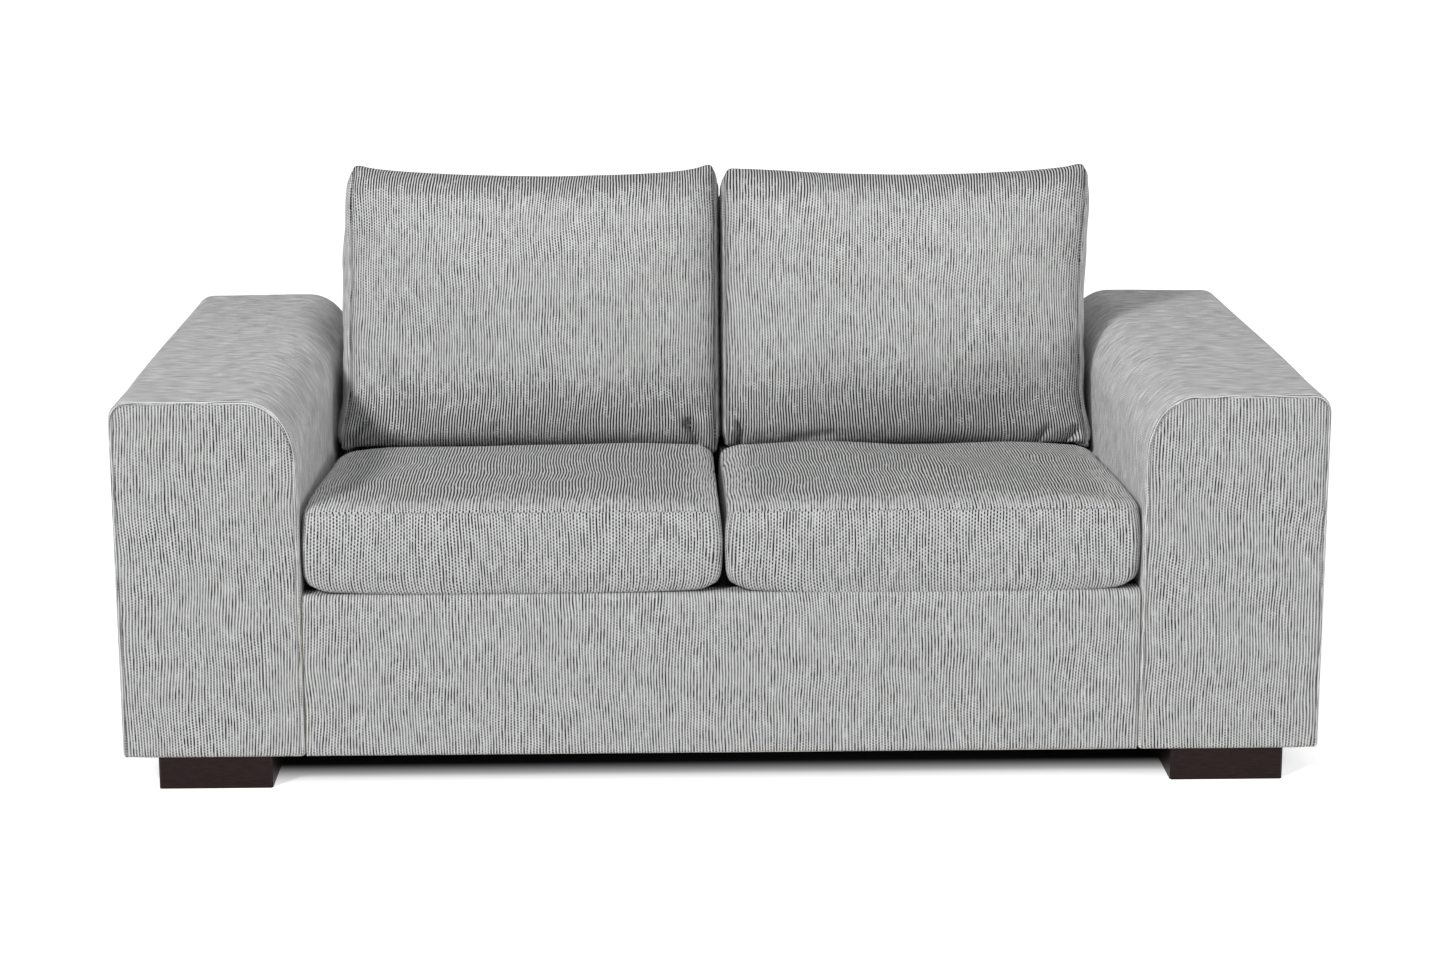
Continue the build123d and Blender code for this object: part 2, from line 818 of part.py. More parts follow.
def seat_section(share):
    """The right seat cushion cut from front to rear: a round face, a crowned top and straight hidden sides."""
    corners, face, crown = seat_corners(share, 0)
    front_low, front_high, press, rear_high, rear_low = corners
    edges = [
        Edge.make_three_point_arc(front_low, face, front_high),
        Edge.make_three_point_arc(front_high, crown, press),
        Edge.make_line(press, rear_high),
        Edge.make_line(rear_high, rear_low),
        Edge.make_line(rear_low, front_low),
    ]
    return Wire(edges)


def height_above_seat(distance, lift):
    """How far up along the lean a point lies that is lifted off the seat's falling top."""
    slope = seat_press_slope()
    level = seat_press_height + lift - seat_base_top - distance * sin(lean)
    ahead = back_foot_y - distance * cos(lean) - seat_press_y()
    return (level - slope * ahead) / (cos(lean) + slope * sin(lean))


def back_corners(share, inset):
    """The right back cushion's corners at a share of its half width, with its face's and top's middles."""
    x_from = back_cushion_gap / 2 + inset
    x_to = half_between_arms - back_side_gap - inset
    centre = (x_from + x_to) / 2
    half = (x_to - x_from) / 2
    side = abs(share) ** crown_power
    rest_z = seat_press_height + soft_gap
    lift = soft_gap + inset + back_cushion_corner_lift * side
    # The cover's top rises to its corners, and the core's is straight, at the middle's height
    corner_rise = 0 if inset else back_cushion_corner_height - back_cushion_middle_height
    seam_z = back_cushion_middle_height + corner_rise * side - inset
    front_at = back_cushion_thickness - inset
    rear_at = soft_gap + inset

    def placed(y, z):
        """A point of the section, drawn in towards the cushion's middle as it rises."""
        draw = back_cushion_side_taper * (z - rest_z) / (back_cushion_corner_height - rest_z)
        return Vector(centre + share * (half - draw), y, z)

    low_height = height_above_seat(front_at, lift)
    top_height = height_on_lean(front_at, seam_z)
    front_low = placed(*on_lean(front_at, low_height))
    front_high = placed(*on_lean(front_at, top_height))
    rear_high = placed(*on_lean(rear_at, top_height - back_cushion_rear_drop))
    rear_low = placed(*on_lean(rear_at, height_above_seat(rear_at, lift)))
    face = placed(
        *on_lean(front_at + back_cushion_crown * swell(share), (low_height + top_height) / 2)
    )
    top_at = (front_at + rear_at) / 2
    top = placed(*on_lean(top_at, top_height - back_cushion_rear_drop / 2 + back_cushion_top_bulge))
    return (front_low, front_high, rear_high, rear_low), face, top


def back_section(share):
    """The right back cushion cut from front to rear: a swollen face and top, flat behind and below."""
    corners, face, top = back_corners(share, 0)
    front_low, front_high, rear_high, rear_low = corners
    edges = [
        Edge.make_three_point_arc(front_low, face, front_high),
        Edge.make_three_point_arc(front_high, top, rear_high),
        Edge.make_line(rear_high, rear_low),
        Edge.make_line(rear_low, front_low),
    ]
    return Wire(edges)


def cushion_pieces(name, corners, section):
    """A cushion on both sides: a swollen cover with its wrap, lofted, round a straight-sided core."""
    form = Solid.make_loft([section(share) for share in section_shares], ruled=True)
    blocks = []
    for inset in (wrap_thickness, wrap_thickness + soft_gap):
        blocks.append(flat_faced([corners(share, inset)[0] for share in (-1, 1)]))
    hollow, core = blocks
    cover = form - hollow
    return {
        name + "_cover_right": cover,
        name + "_cover_left": mirrored(cover),
        name + "_core_right": core,
        name + "_core_left": mirrored(core),
    }


def all_pieces():
    """Every piece of the sofa, by name."""
    pieces = {}
    pieces.update(base_pieces())
    for name, piece in arm_pieces().items():
        pieces[name + "_right"] = piece
        pieces[name + "_left"] = mirrored(piece)
    pieces.update(seat_box_pieces())
    pieces.update(suspension_pieces())
    pieces.update(back_pieces())
    pieces.update(cushion_pieces("seat_cushion", seat_corners, seat_section))
    pieces.update(cushion_pieces("back_cushion", back_corners, back_section))
    return pieces


os.makedirs("parts", exist_ok=True)
for piece_name, piece_shape in all_pieces().items():
    export_step(piece_shape, "parts/" + piece_name + ".step")
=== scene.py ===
# %% [markdown]
# # A two-seater sofa in corded fabric
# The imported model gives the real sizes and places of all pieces. This lesson dresses it: the covers and
# cushions become soft surfaces worked out with numpy, the hidden pieces get finishes, and a plain studio
# shows the result.

import json
from functools import partial
from math import atan2, cos, pi, radians, sin, sqrt, tan

import bpy
import numpy as np
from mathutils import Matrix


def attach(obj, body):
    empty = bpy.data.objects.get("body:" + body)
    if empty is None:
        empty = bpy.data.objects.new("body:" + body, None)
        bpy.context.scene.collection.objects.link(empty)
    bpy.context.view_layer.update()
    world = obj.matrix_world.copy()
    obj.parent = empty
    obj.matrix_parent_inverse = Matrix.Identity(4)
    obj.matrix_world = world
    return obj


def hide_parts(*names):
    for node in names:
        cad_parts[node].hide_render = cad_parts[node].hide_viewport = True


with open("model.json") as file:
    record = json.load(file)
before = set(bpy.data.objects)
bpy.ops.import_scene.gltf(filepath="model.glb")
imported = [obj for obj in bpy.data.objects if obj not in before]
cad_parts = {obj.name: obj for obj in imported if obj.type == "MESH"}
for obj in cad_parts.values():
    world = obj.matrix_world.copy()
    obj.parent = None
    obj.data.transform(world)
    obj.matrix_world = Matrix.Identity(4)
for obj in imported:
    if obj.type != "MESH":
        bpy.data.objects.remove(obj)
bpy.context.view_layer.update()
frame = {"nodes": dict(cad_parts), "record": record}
nodes = frame["nodes"]

# %% [markdown]
# ## The sofa's own sizes
# The soft surfaces follow the forms of the solids under them, so the driving sizes are repeated here, in
# metres. X runs across the sofa, Y from front to rear and Z up from the floor.

# %% Name the sizes
half_width = 0.920
half_depth = 0.480
half_between_arms = 0.640
arm_height = 0.608
base_z = 0.050
seat_base_top = 0.304
back_height = 0.720
back_foot_y = 0.194
lean = radians(16)

arm_outer_radius = 0.030
arm_round_width = 0.078
arm_round_height = 0.096

# Which way along X each side faces outwards
outwards = {"right": 1, "left": -1}
print("overall width and depth in metres:", 2 * half_width, 2 * half_depth)

# %% [markdown]
# ## From grids of points to a mesh
# A sewn cover is a few panels of cloth. Each panel is a grid of points with places on the flat cloth, so
# that the weave runs along it. Panels meet at seams, where their edge points are the same and are joined.

# %% Turn panels into a mesh
weld_distance = 0.00002


def stacked(*parts):
    """Coordinates along a new last axis, each one spread to the shape that they share."""
    return np.stack(np.broadcast_arrays(*parts), axis=-1)


def lengths_along(points):
    """How far along a polyline each of its points lies."""
    return np.concatenate([[0], np.cumsum(np.hypot(*np.diff(points, axis=0).T))])


def panel(points, cloth, stitch=0.0, spread_and_shading=0.5):
    """A grid of points, its places on the flat cloth in metres, its stitch marks, and a mark for its cords. A
    high mark widens the dark grooves, partly for cords pulled apart and partly as painted shade; a low one
    makes the cords lighter, partly as painted light."""
    stitch, spread_and_shading = (np.broadcast_to(mark, points.shape[:2]) for mark in (stitch, spread_and_shading))
    return {"points": points, "cloth": cloth, "stitch": stitch, "spread_and_shading": spread_and_shading}


def grid_cells(rows, columns):
    """The corner numbers of a grid's cells. Its points are numbered row by row."""
    first = (np.arange(rows - 1)[:, None] * columns + np.arange(columns - 1)).ravel()
    return np.stack([first, first + 1, first + columns + 1, first + columns], axis=1)


def outward(points, cells, inside):
    """Cells turned so that their normals point away from a point inside."""
    corners = points[cells]
    normals = np.cross(corners[:, 2] - corners[:, 0], corners[:, 3] - corners[:, 1])
    away = corners.mean(axis=1) - inside
    return cells[:, ::-1] if (normals * away).sum() < 0 else cells


def placed(name, data):
    """A new object, linked to the scene."""
    piece = bpy.data.objects.new(name, data)
    bpy.context.scene.collection.objects.link(piece)
    return piece


def sewn(name, panels, inside, body):
    """One object from panels. The cloth places go in a UV map, the marks in attributes."""
    points = np.concatenate([part["points"].reshape(-1, 3) for part in panels])
    cloth = np.concatenate([part["cloth"].reshape(-1, 2) for part in panels])
    cells = []
    start = 0
    for part in panels:
        rows, columns = part["points"].shape[:2]
        cells.append(outward(points, grid_cells(rows, columns) + start, inside))
        start += rows * columns
    cells = np.concatenate(cells)

    keys = np.round(points / weld_distance).astype(np.int64)
    first, joined = np.unique(keys, axis=0, return_index=True, return_inverse=True)[1:]
    welded = joined.ravel()[cells]
    distinct = np.array([len(set(corners)) == 4 for corners in welded.tolist()])
    mesh = bpy.data.meshes.new(name)
    mesh.from_pydata(points[first].tolist(), [], welded[distinct].tolist())
    layer = mesh.uv_layers.new(name="cloth")
    layer.data.foreach_set("uv", cloth[cells[distinct].ravel()].ravel())
    for mark in ("stitch", "spread_and_shading"):
        values = np.concatenate([part[mark].ravel() for part in panels])
        attribute = mesh.attributes.new(mark, "FLOAT", "POINT")
        attribute.data.foreach_set("value", values[first].astype(np.float32))
    mesh.polygons.foreach_set("use_smooth", np.ones(len(mesh.polygons), bool))
    mesh.update()
    piece = placed(name, mesh)
    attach(piece, body)
    print(name, "has", len(mesh.vertices), "points and", len(mesh.polygons), "faces")
    return piece


# %% [markdown]
# ## Even steps with close ones at the seams
# A seam is a furrow two or three millimetres wide in a panel half a metre across, so the grid lines crowd
# near a panel's edges.

# %% Space the grid lines
seam_steps = (0.0012, 0.0012, 0.0016, 0.002, 0.003, 0.004, 0.006)


def spaced(length, step):
    """Distances from zero to a length: close steps near both ends and even steps between."""
    close = np.concatenate([[0], np.cumsum(seam_steps)])
    middle = length - close[-1] - close[-1]
    count = max(2, int(round(middle / step)))
    between = close[-1] + middle * np.arange(1, count) / count
    return np.concatenate([close, between, (length - close)[::-1]])


def unevenness(across, along, seed, size):
    """A smooth wander of about one either way: six sine waves near the size, with seeded directions."""
    waves = 6
    draw = np.random.default_rng(seed)
    total = np.zeros(np.broadcast(across, along).shape)
    for turn, start, stretch in zip(
        draw.uniform(0, 2 * pi, waves), draw.uniform(0, 2 * pi, waves), draw.uniform(0.7, 1.6, waves)
    ):
        total += np.sin(2 * pi * (across * cos(turn) + along * sin(turn)) / (size * stretch) + start)
    return total / sqrt(waves)


def quarter_roll(distance, width):
    """Rises from zero at an edge to one at a width inside it, on a quarter of an ellipse."""
    share = np.clip(distance / width, 0, 1)
    return np.sqrt(1 - (1 - share) ** 2)


def fade(value, low, high):
    """Goes smoothly from zero at the low value to one at the high."""
    share = np.clip((value - low) / (high - low), 0, 1)
    return share * share * (3 - 2 * share)


def bell(distance, width):
    """One at no distance, dying out to both sides."""
    return np.exp(-((distance / width) ** 2))


def crease(across, along, start, end, width):
    """A fold's shape: one along the line from start to end, dying out at its sides and ends."""
    direction = np.subtract(end, start)
    length = np.hypot(*direction)
    direction = direction / length
    ahead = (across - start[0]) * direction[0] + (along - start[1]) * direction[1]
    aside = (along - start[1]) * direction[0] - (across - start[0]) * direction[1]
    return bell(aside, width) * fade(ahead, -width, width) * (1 - fade(ahead, length - width, length + width))


print("grid lines over 0.6 m at steps of 8 mm:", len(spaced(0.6, 0.008)))

# %% [markdown]
# ## Cloth pulled over foam
# Cloth stapled under the frame turns in round its bottom edge on a small quarter circle, and foam pushes it
# out softly and unevenly.

# %% Turn under and push out
turn_under_radius = 0.006
soft_depth = 0.0008
soft_size = 0.30


def tucked_under(points, centre=(0, 0), halves=(half_width, half_depth)):
    """Draws a cover in near its bottom edge, towards a centre that it surrounds at these half sizes."""
    drawn = turn_under_radius * (1 - quarter_roll(points[..., 2] - base_z, turn_under_radius))
    for axis in (0, 1):
        offset = points[..., axis] - centre[axis]
        points[..., axis] = centre[axis] + offset * (1 - drawn / halves[axis])
    return points


def soft_push(across, along, seed):
    """How far in Y the foam pushes a front face out, and never inwards."""
    return -soft_depth * np.clip(0.6 + unevenness(across, along, seed, soft_size), 0, 2)


# %% [markdown]
# ## The arm's outline
# The arms are straight boxes with a tight round outside and a large one inside, a quarter of an ellipse.
# The cloth is a little fuller than the foam at both rounds. The outline runs from the inner side's foot,
# up, over the top and down the outer side, and an offset moves its points along their normals.

# %% Work out the arm's outline
arc_step = 0.003
outline_step = 0.007
tangent_reach = 0.001


def arc(centre, radius, turn_from, turn_to, rise=None):
    """Points of an arc, or with a rise of its own of an ellipse, from the inner side up."""
    rise = radius if rise is None else rise
    count = max(3, int(max(radius, rise) * (turn_to - turn_from) / arc_step))
    turns = np.linspace(turn_from, turn_to, count)
    return stacked(centre[0] - radius * np.cos(turns), centre[1] + rise * np.sin(turns))


def along_line(points, places):
    """Points at given lengths along a polyline."""
    lengths = lengths_along(points)
    return stacked(*(np.interp(places, lengths, points[:, axis]) for axis in (0, 1)))


def arm_outline():
    """Points, outward normals and lengths along the right arm's outline, as X and Z."""
    inner_centre = (half_between_arms + arm_round_width, arm_height - arm_round_height)
    outer_centre = (half_width - arm_outer_radius, arm_height - arm_outer_radius)
    corners = np.concatenate([
        [(half_between_arms, base_z)],
        arc(inner_centre, arm_round_width, 0, pi / 2, rise=arm_round_height),
        arc(outer_centre, arm_outer_radius, pi / 2, pi),
        [(half_width, base_z)],
    ])
    total = lengths_along(corners)[-1]
    places = spaced(total, outline_step)
    ahead = along_line(corners, np.minimum(places + tangent_reach, total))
    behind = along_line(corners, np.maximum(places - tangent_reach, 0))
    tangents = ahead - behind
    tangents /= np.hypot(*tangents.T)[:, None]
    return along_line(corners, places), stacked(-tangents[:, 1], tangents[:, 0]), places


outline_points, outline_normals, outline_places = arm_outline()
print("the arm's outline is", round(float(outline_places[-1]), 3), "m round")

# %% [markdown]
# ## The arm covers
# One long band of cloth goes over both sides and the top, and a front panel is sewn into it. The seam lies
# just inside the arm's front edge: a low ridge of folded cloth beside a furrow. The band is the outline
# carried from front to rear. Its first rows go round the front edge to the seam.

# %% Make the arm covers
arm_centre_x = (half_between_arms + half_width) / 2
arm_seam_inset = 0.006
# How far inside the outline the band's first rows lie, and how far in front of the front plane
front_rows = np.array([
    (0.0060, -0.0003), (0.0055, 0.0005), (0.0049, 0.0010), (0.0042, 0.0010), (0.0034, 0.0004),
    (0.0025, -0.0006), (0.0016, -0.0020), (0.0008, -0.0040), (0.0002, -0.0070),
])
# The same for its last rows, and how far before the rear plane
rear_rows = np.array([(0.0002, 0.0050), (0.0010, 0.0030), (0.0024, 0.0014), (0.0042, 0.0005), (0.0060, 0.0)])
band_step = 0.010
arm_softness = 0.0012
arm_front_width = 0.259
arm_front_height = 0.6
arm_front_puff = 0.0022
puff_width = 0.035
furrow_width = 0.0016
furrow_mark = 0.8
# Marks for the arm cloth: low ones make the cords lighter on the top and the sides, painted light, and keep
# the dark grooves narrow
arm_top_spread_and_light = 0.34
arm_side_spread_and_light = 0.22
arm_front_spread_and_light = 0.48
left_arm_cloth = 1.37


def arm_band():
    """The band: the outline less each row's inset, at each row's Y."""
    straight = np.arange(-half_depth + 0.0110, half_depth - 0.0090, band_step)
    insets = np.concatenate([front_rows[:, 0], np.zeros(len(straight)), rear_rows[:, 0]])[:, None]
    y = np.concatenate([-half_depth - front_rows[:, 1], straight, half_depth - rear_rows[:, 1]])[:, None]
    behind_seam = fade(y, -half_depth + 0.02, -half_depth + 0.12)
    wander = np.clip(0.4 + unevenness(outline_places, y, 11, 0.34), -0.5, 1.6)
    offset = arm_softness * behind_seam * wander - insets
    flat = outline_points + offset[..., None] * outline_normals
    points = stacked(flat[..., 0], y, flat[..., 1])
    cloth = stacked(lengths_along(np.hstack([insets, y]))[:, None], outline_places)
    furrow = np.zeros(points.shape[:2])
    furrow[0] = furrow_mark
    on_top = fade(points[..., 2], arm_height - arm_round_height, arm_height - 0.02)
    # The mark, with its painted light, goes from the sides' value to the top's
    return points, cloth, furrow, arm_side_spread_and_light + (arm_top_spread_and_light - arm_side_spread_and_light) * on_top


def arm_front():
    """The front panel: threads from the inner edge to the outer one, both taken from foot to top, so that the
    flat top edge is its last row. Foam pushes it out a little between its seams."""
    edge = outline_points - arm_seam_inset * outline_normals
    lengths = lengths_along(edge)
    top = np.nonzero(edge[:, 1] > arm_height - arm_seam_inset - 0.0002)[0]
    rise = spaced(1.0, 0.012)
    inner = along_line(edge, rise * lengths[top[0]])
    outer = along_line(edge, lengths[-1] + rise * (lengths[top[-1]] - lengths[-1]))
    share = spaced(arm_front_width, outline_step) / arm_front_width
    flat = inner[:, None] + (outer - inner)[:, None] * share[:, None]
    aside = np.minimum(share, 1 - share) * arm_front_width
    from_edge = np.minimum(aside, (1 - rise)[:, None] * arm_front_height)
    uneven = unevenness(flat[..., 0], flat[..., 1], 5, 0.2)
    puff = (arm_front_puff + 0.0005 * uneven) * fade(from_edge, 0, puff_width)
    points = stacked(flat[..., 0], -half_depth + 0.0004 - puff, flat[..., 1])
    return points, flat, furrow_mark * bell(from_edge, furrow_width), arm_front_spread_and_light


arm_covers = []
for side, out in outwards.items():
    for part, (points, cloth, stitch, spread_and_shading) in (("arm_band_", arm_band()), ("arm_front_", arm_front())):
        points = tucked_under(points, (arm_centre_x, 0), (half_width - arm_centre_x, half_depth))
        cloth = cloth + (left_arm_cloth if side == "left" else 0.0)
        grid = panel(points * (out, 1, 1), cloth, stitch, spread_and_shading)
        cover = sewn(part + side, [grid], (out * arm_centre_x, 0, 0.3), "frame")
        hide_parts(part + "cover_" + side)
        arm_covers.append(cover)

# %% [markdown]
# ## The front rail's cover
# Under the seat the cloth is pulled over thin foam on the front rail: one profile, up the face and over a
# round edge, carried from arm to arm.

# %% Make the front rail's cover
rail_half = 0.6390
rail_step = 0.010
rail_edge_radius = 0.014
rail_cover_depth = 0.042
rail_end_turn = 0.0035
rail_cloth = 0.61


def rail_profile():
    """The profile as Y and Z: up the face, round the top edge and back under the cushions."""
    centre = (-half_depth + rail_edge_radius, seat_base_top - rail_edge_radius)
    rise = base_z + np.concatenate([np.linspace(0, 0.012, 9), np.arange(0.02, 0.23, rail_step)])
    face = stacked(-half_depth, rise[rise < centre[1]])
    round_edge = arc(centre, rail_edge_radius, 0, pi / 2)
    back = stacked(np.linspace(centre[0] + 0.004, -half_depth + rail_cover_depth, 5), seat_base_top - 0.0004)
    return np.concatenate([face, round_edge, back])


def rail_cover():
    """The profile at every X, with a soft push out of the face and both ends turned in beside the arms."""
    profile = rail_profile()
    y, z = profile.T[..., None]
    x = spaced(2 * rail_half, rail_step) - rail_half
    on_face = fade(seat_base_top - z, 0.0, 0.05)
    turn_in = rail_end_turn * (1 - quarter_roll(rail_half - np.abs(x), 0.006))
    points = stacked(x, y + turn_in + on_face * soft_push(x, z, 21), z)
    return panel(tucked_under(points), stacked(x, lengths_along(profile)[:, None]) + rail_cloth)


front_rail_cloth = sewn("front_rail_cloth", [rail_cover()], (0, -0.2, 0.1), "frame")
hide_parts("front_rail_cover")

# %% [markdown]
# ## The back's covers
# The back has a leaning, padded face behind the cushions, a round over its top and a flat rear. One plain
# cover closes the whole sofa from behind. Each column of its grid is as high as the sofa is there.

# %% Make the inside back's cover
back_step = 0.012
back_row_step = 0.010
back_round_radius = 0.034
back_end_radius = 0.018
back_deck_z = 0.3045


def lean_point(distance, height):
    """Y and Z at a distance before the back's leaning face and a height up along it."""
    y = back_foot_y + height * sin(lean) - distance * cos(lean)
    z = seat_base_top + height * cos(lean) + distance * sin(lean)
    return y, z


def height_at(distance, z):
    """How far up along the leaning face a point at this distance and level lies."""
    return (z - seat_base_top - distance * sin(lean)) / cos(lean)


def end_drop(x):
    """How far the back's top edge falls off near its two ends."""
    return back_end_radius * (1 - quarter_roll(half_between_arms - np.abs(x), back_end_radius))


def back_profile():
    """The back's profile as Y and Z: up the leaning face, over the round and level to the rear edge."""
    reach = back_round_radius / tan((pi / 2 + lean) / 2)
    top = height_at(0, back_height)
    face = stacked(*lean_point(0, np.arange(0, top - reach, back_row_step)))
    face[:, 1] = np.maximum(face[:, 1], back_deck_z)
    centre = (lean_point(0, top)[0] + reach, back_height - back_round_radius)
    over = arc(centre, back_round_radius, lean, pi / 2)
    level_y = np.arange(centre[0] + 0.01, half_depth - 0.012, back_row_step)
    level = stacked(np.append(level_y, (half_depth - 0.008, half_depth - 0.005)), back_height)
    edge = (
        (half_depth - 0.0025, back_height - 0.0008),
        (half_depth - 0.0008, back_height - 0.0025),
        (half_depth, back_height - 0.006),
    )
    return np.concatenate([face, over, level, edge])


def inside_back_panels():
    """The profile at every X, its ends falling off, and a flat panel that closes each end."""
    profile = back_profile()
    lengths = lengths_along(profile)[:, None]
    y, z = profile.T[..., None]
    x = spaced(2 * half_between_arms, back_step) - half_between_arms
    drop = end_drop(x) * np.clip((z - seat_base_top) / (back_height - seat_base_top), 0, 1)
    level_from = np.argmax(profile[:, 1] > back_height - 1e-9)
    level_y = profile[level_from, 0]
    y = y - drop * (1 - fade(y, level_y - back_round_radius, level_y)) * tan(lean)
    y = y + soft_push(x, lengths, 31) * (1 - fade(y, 0.30, 0.40))
    panels = [panel(stacked(x, y, z - drop), stacked(x + np.sign(x) * drop, lengths))]
    for column in (0, -1):
        edge, top = np.split(panels[0]["points"][:, column], [level_from])
        shares = (top[:, 1] - top[0, 1]) / (top[-1, 1] - top[0, 1])
        edge_x, edge_y, edge_z = edge.T[..., None]
        points = stacked(edge_x, edge_y + (half_depth - edge_y) * shares, edge_z)
        points = np.concatenate([points, top[None]])
        panels.append(panel(points, points[..., 1:]))
    return panels


inside_back = sewn("inside_back_cloth", inside_back_panels(), (0, 0.45, 0.4), "frame")
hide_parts("back_cover")

# %% Make the outside back's cover
rear_inset = 0.006
rear_middle_half = half_between_arms - 0.0005


def column_panel(x, tops):
    """A flat rear panel: each column runs from the base up to its own top, and its edges lie a little in."""
    near_base = (0, 0.001, 0.002, 0.004, 0.007, 0.012)
    near_top = (0.965, 0.98, 0.99, 1)
    rise = np.unique(np.concatenate([near_base, np.linspace(0, 1, 60)[1:-4], near_top]))
    z = base_z + rise[:, None] * (tops - base_z)
    soft = 0.0006 * unevenness(x, z, 41, 0.35) * fade(tops - z, 0, 0.05) * fade(z, base_z, 0.1)
    points = stacked(x, np.minimum(half_depth + soft, half_depth + 0.0012), z)
    return panel(tucked_under(points), stacked(x, z))


middle_x = spaced(2 * rear_middle_half, back_step) - rear_middle_half
rear_panels = [column_panel(middle_x, back_height - rear_inset - end_drop(middle_x))]
upper = outline_points - rear_inset * outline_normals
upper = upper[outline_points[:, 1] > arm_height - arm_round_height]
for out in outwards.values():
    rear_panels.append(column_panel(out * upper[:, 0], upper[:, 1]))
outside_back = sewn("outside_back_cloth", rear_panels, (0, 0, 0.3), "frame")
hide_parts("outside_back_cover")

# %% [markdown]
# ## Boxed cushions
# A boxed cushion is two large panels with a strip, the boxing, sewn between them all round. The filling
# crowns the panels and pushes the boxing out, and leaves the seams as furrows. Each cushion is built flat
# and then placed: p runs across it, q along it and n through it.

# %% Build a boxed cushion
boxing_rows = 30
cushion_step = 0.004
seam_furrow = 0.0018


def rounded(p, q, half_p, half_q, radius):
    """Presses a rectangle's corner squares into round corners, and gives each point's distance from the edge.
    With sides from 0 to 1, (s, t) goes to s times the root of 1 - tt/2, and t times that of 1 - ss/2."""
    over_p = np.maximum(np.abs(p) - (half_p - radius), 0) / radius
    over_q = np.maximum(np.abs(q) - (half_q - radius), 0) / radius
    new_p = over_p * np.sqrt(1 - over_q**2 / 2)
    new_q = over_q * np.sqrt(1 - over_p**2 / 2)
    in_corner = (over_p > 0) & (over_q > 0)
    from_edge = np.minimum(half_p - np.abs(p), half_q - np.abs(q))
    from_edge = np.where(in_corner, radius * (1 - np.hypot(new_p, new_q)), from_edge)
    p = np.sign(p) * (np.minimum(np.abs(p), half_p - radius) + new_p * radius)
    q = np.sign(q) * (np.minimum(np.abs(q), half_q - radius) + new_q * radius)
    return p, q, from_edge


def rim(grid):
    """The points round a grid's edge, anticlockwise, and the first one again."""
    return np.concatenate([grid[0, :], grid[1:, -1], grid[-1, -2::-1], grid[-2:0:-1, 0], grid[0, :1]])


def rim_normals(p, q):
    """Outward directions round a rim: its tangents, taken across the neighbours, turned a quarter."""
    ahead_p, ahead_q = (np.roll(line[:-1], -1) - np.roll(line[:-1], 1) for line in (p, q))
    length = np.hypot(ahead_p, ahead_q)
    return (np.append(out, out[0]) for out in (ahead_q / length, -ahead_p / length))


def boxed_cushion(body, halves, radii, shapes, turn_share, inside, ribs_round, cloth_start, seams, spreads_and_shading):
    """Two large panels and the boxing between their rims. The bulge pushes the boxing out at each share of
    its width, and over the turn's share it turns in to the rear panel's rim."""
    front, rear, bulge, place = shapes
    # Marks for the front, rear and boxing cloth: high ones widen the dark grooves, partly as painted shade
    front_spread_and_shading, rear_spread_and_shading, strip_spread_and_shading = spreads_and_shading
    flat_p, flat_q = np.meshgrid(*(spaced(2 * half, cushion_step) - half for half in halves))
    p, q, from_edge = rounded(flat_p, flat_q, *halves, np.where(flat_q > 0, radii[1], radii[0]))
    front_grid = np.stack(front(p, q, from_edge), axis=-1)
    rear_grid = np.stack(rear(p, q, from_edge), axis=-1)
    stitch = seams * bell(from_edge, seam_furrow)
    cloth = stacked(p, q)

    rim_p, rim_q = rim(cloth).T
    out_p, out_q = rim_normals(rim_p, rim_q)
    front_rim = rim(front_grid)
    rear_rim = rim(rear_grid)
    length = lengths_along(rim(cloth))
    depth = np.abs(front_rim[:, 2] - rear_rim[:, 2]).mean()
    close = np.concatenate([[0], np.cumsum(seam_steps) / depth])
    between_seams = np.linspace(close[-1], 1 - close[-1], boxing_rows)[1:-1]
    share = np.concatenate([close, between_seams, (1 - close)[::-1]])[:, None]
    turned = share if turn_share == 1 else quarter_roll(share, turn_share)
    strip = rear_rim + (front_rim - rear_rim) * stacked(turned, turned, share)
    push = bulge(share, length, rim_p, rim_q)
    strip[..., 0] += push * out_p
    strip[..., 1] += push * out_q
    through = share * depth
    strip_cloth = stacked(through, length) if ribs_round else stacked(length, through)
    strip_stitch = seams * bell(np.minimum(share, 1 - share) * depth, seam_furrow)
    cloth = cloth + cloth_start
    sides = (
        (front_grid, cloth, stitch, front_spread_and_shading(p, q, from_edge)),
        (rear_grid, cloth + 3, stitch, rear_spread_and_shading),
        (strip, strip_cloth + cloth_start + 5, strip_stitch, strip_spread_and_shading),
    )
    panels = [panel(place(*np.moveaxis(grid, -1, 0)), *marks) for grid, *marks in sides]
    piece = sewn(body + "_cloth", panels, inside, body)
    return piece


# %% [markdown]
# ## The seat cushions
# Each is a foam block in a fibre wrap. Its top is crowned, rolls over to the seam at the front edge, and
# falls to the rear from where the back cushions press. The boxing's lower edge turns under and lifts at the
# corners.

# %% Make the seat cushions
seat_front_seam_y = -0.4725
seat_rear_y = 0.1905
seat_seam_z = 0.431
seat_press_y = 0.0054
seat_press_z = 0.427
seat_fall = 0.038 / (back_foot_y - seat_press_y)
seat_roll_height = 0.0100
seat_roll_width = 0.040
seat_crown = 0.0135
seat_crown_width = 0.06
seat_softness = 0.0024
seat_bottom_z = 0.3046
seat_bottom_inset = 0.009
seat_lift = 0.004
seat_bulge = 0.0032
seat_front_bulge = 0.0030
seat_corner_bulge = 0.0015
seat_side_fall = 0.017
seat_side_fall_width = 0.040
seat_corner_radii = (0.022, 0.020)


def side_fall(from_side, along):
    """How far the top falls off near its side seam: nothing at the front, all of it at the rear."""
    return seat_side_fall * (1 - quarter_roll(from_side, seat_side_fall_width)) * fade(along, 0.05, 0.95)


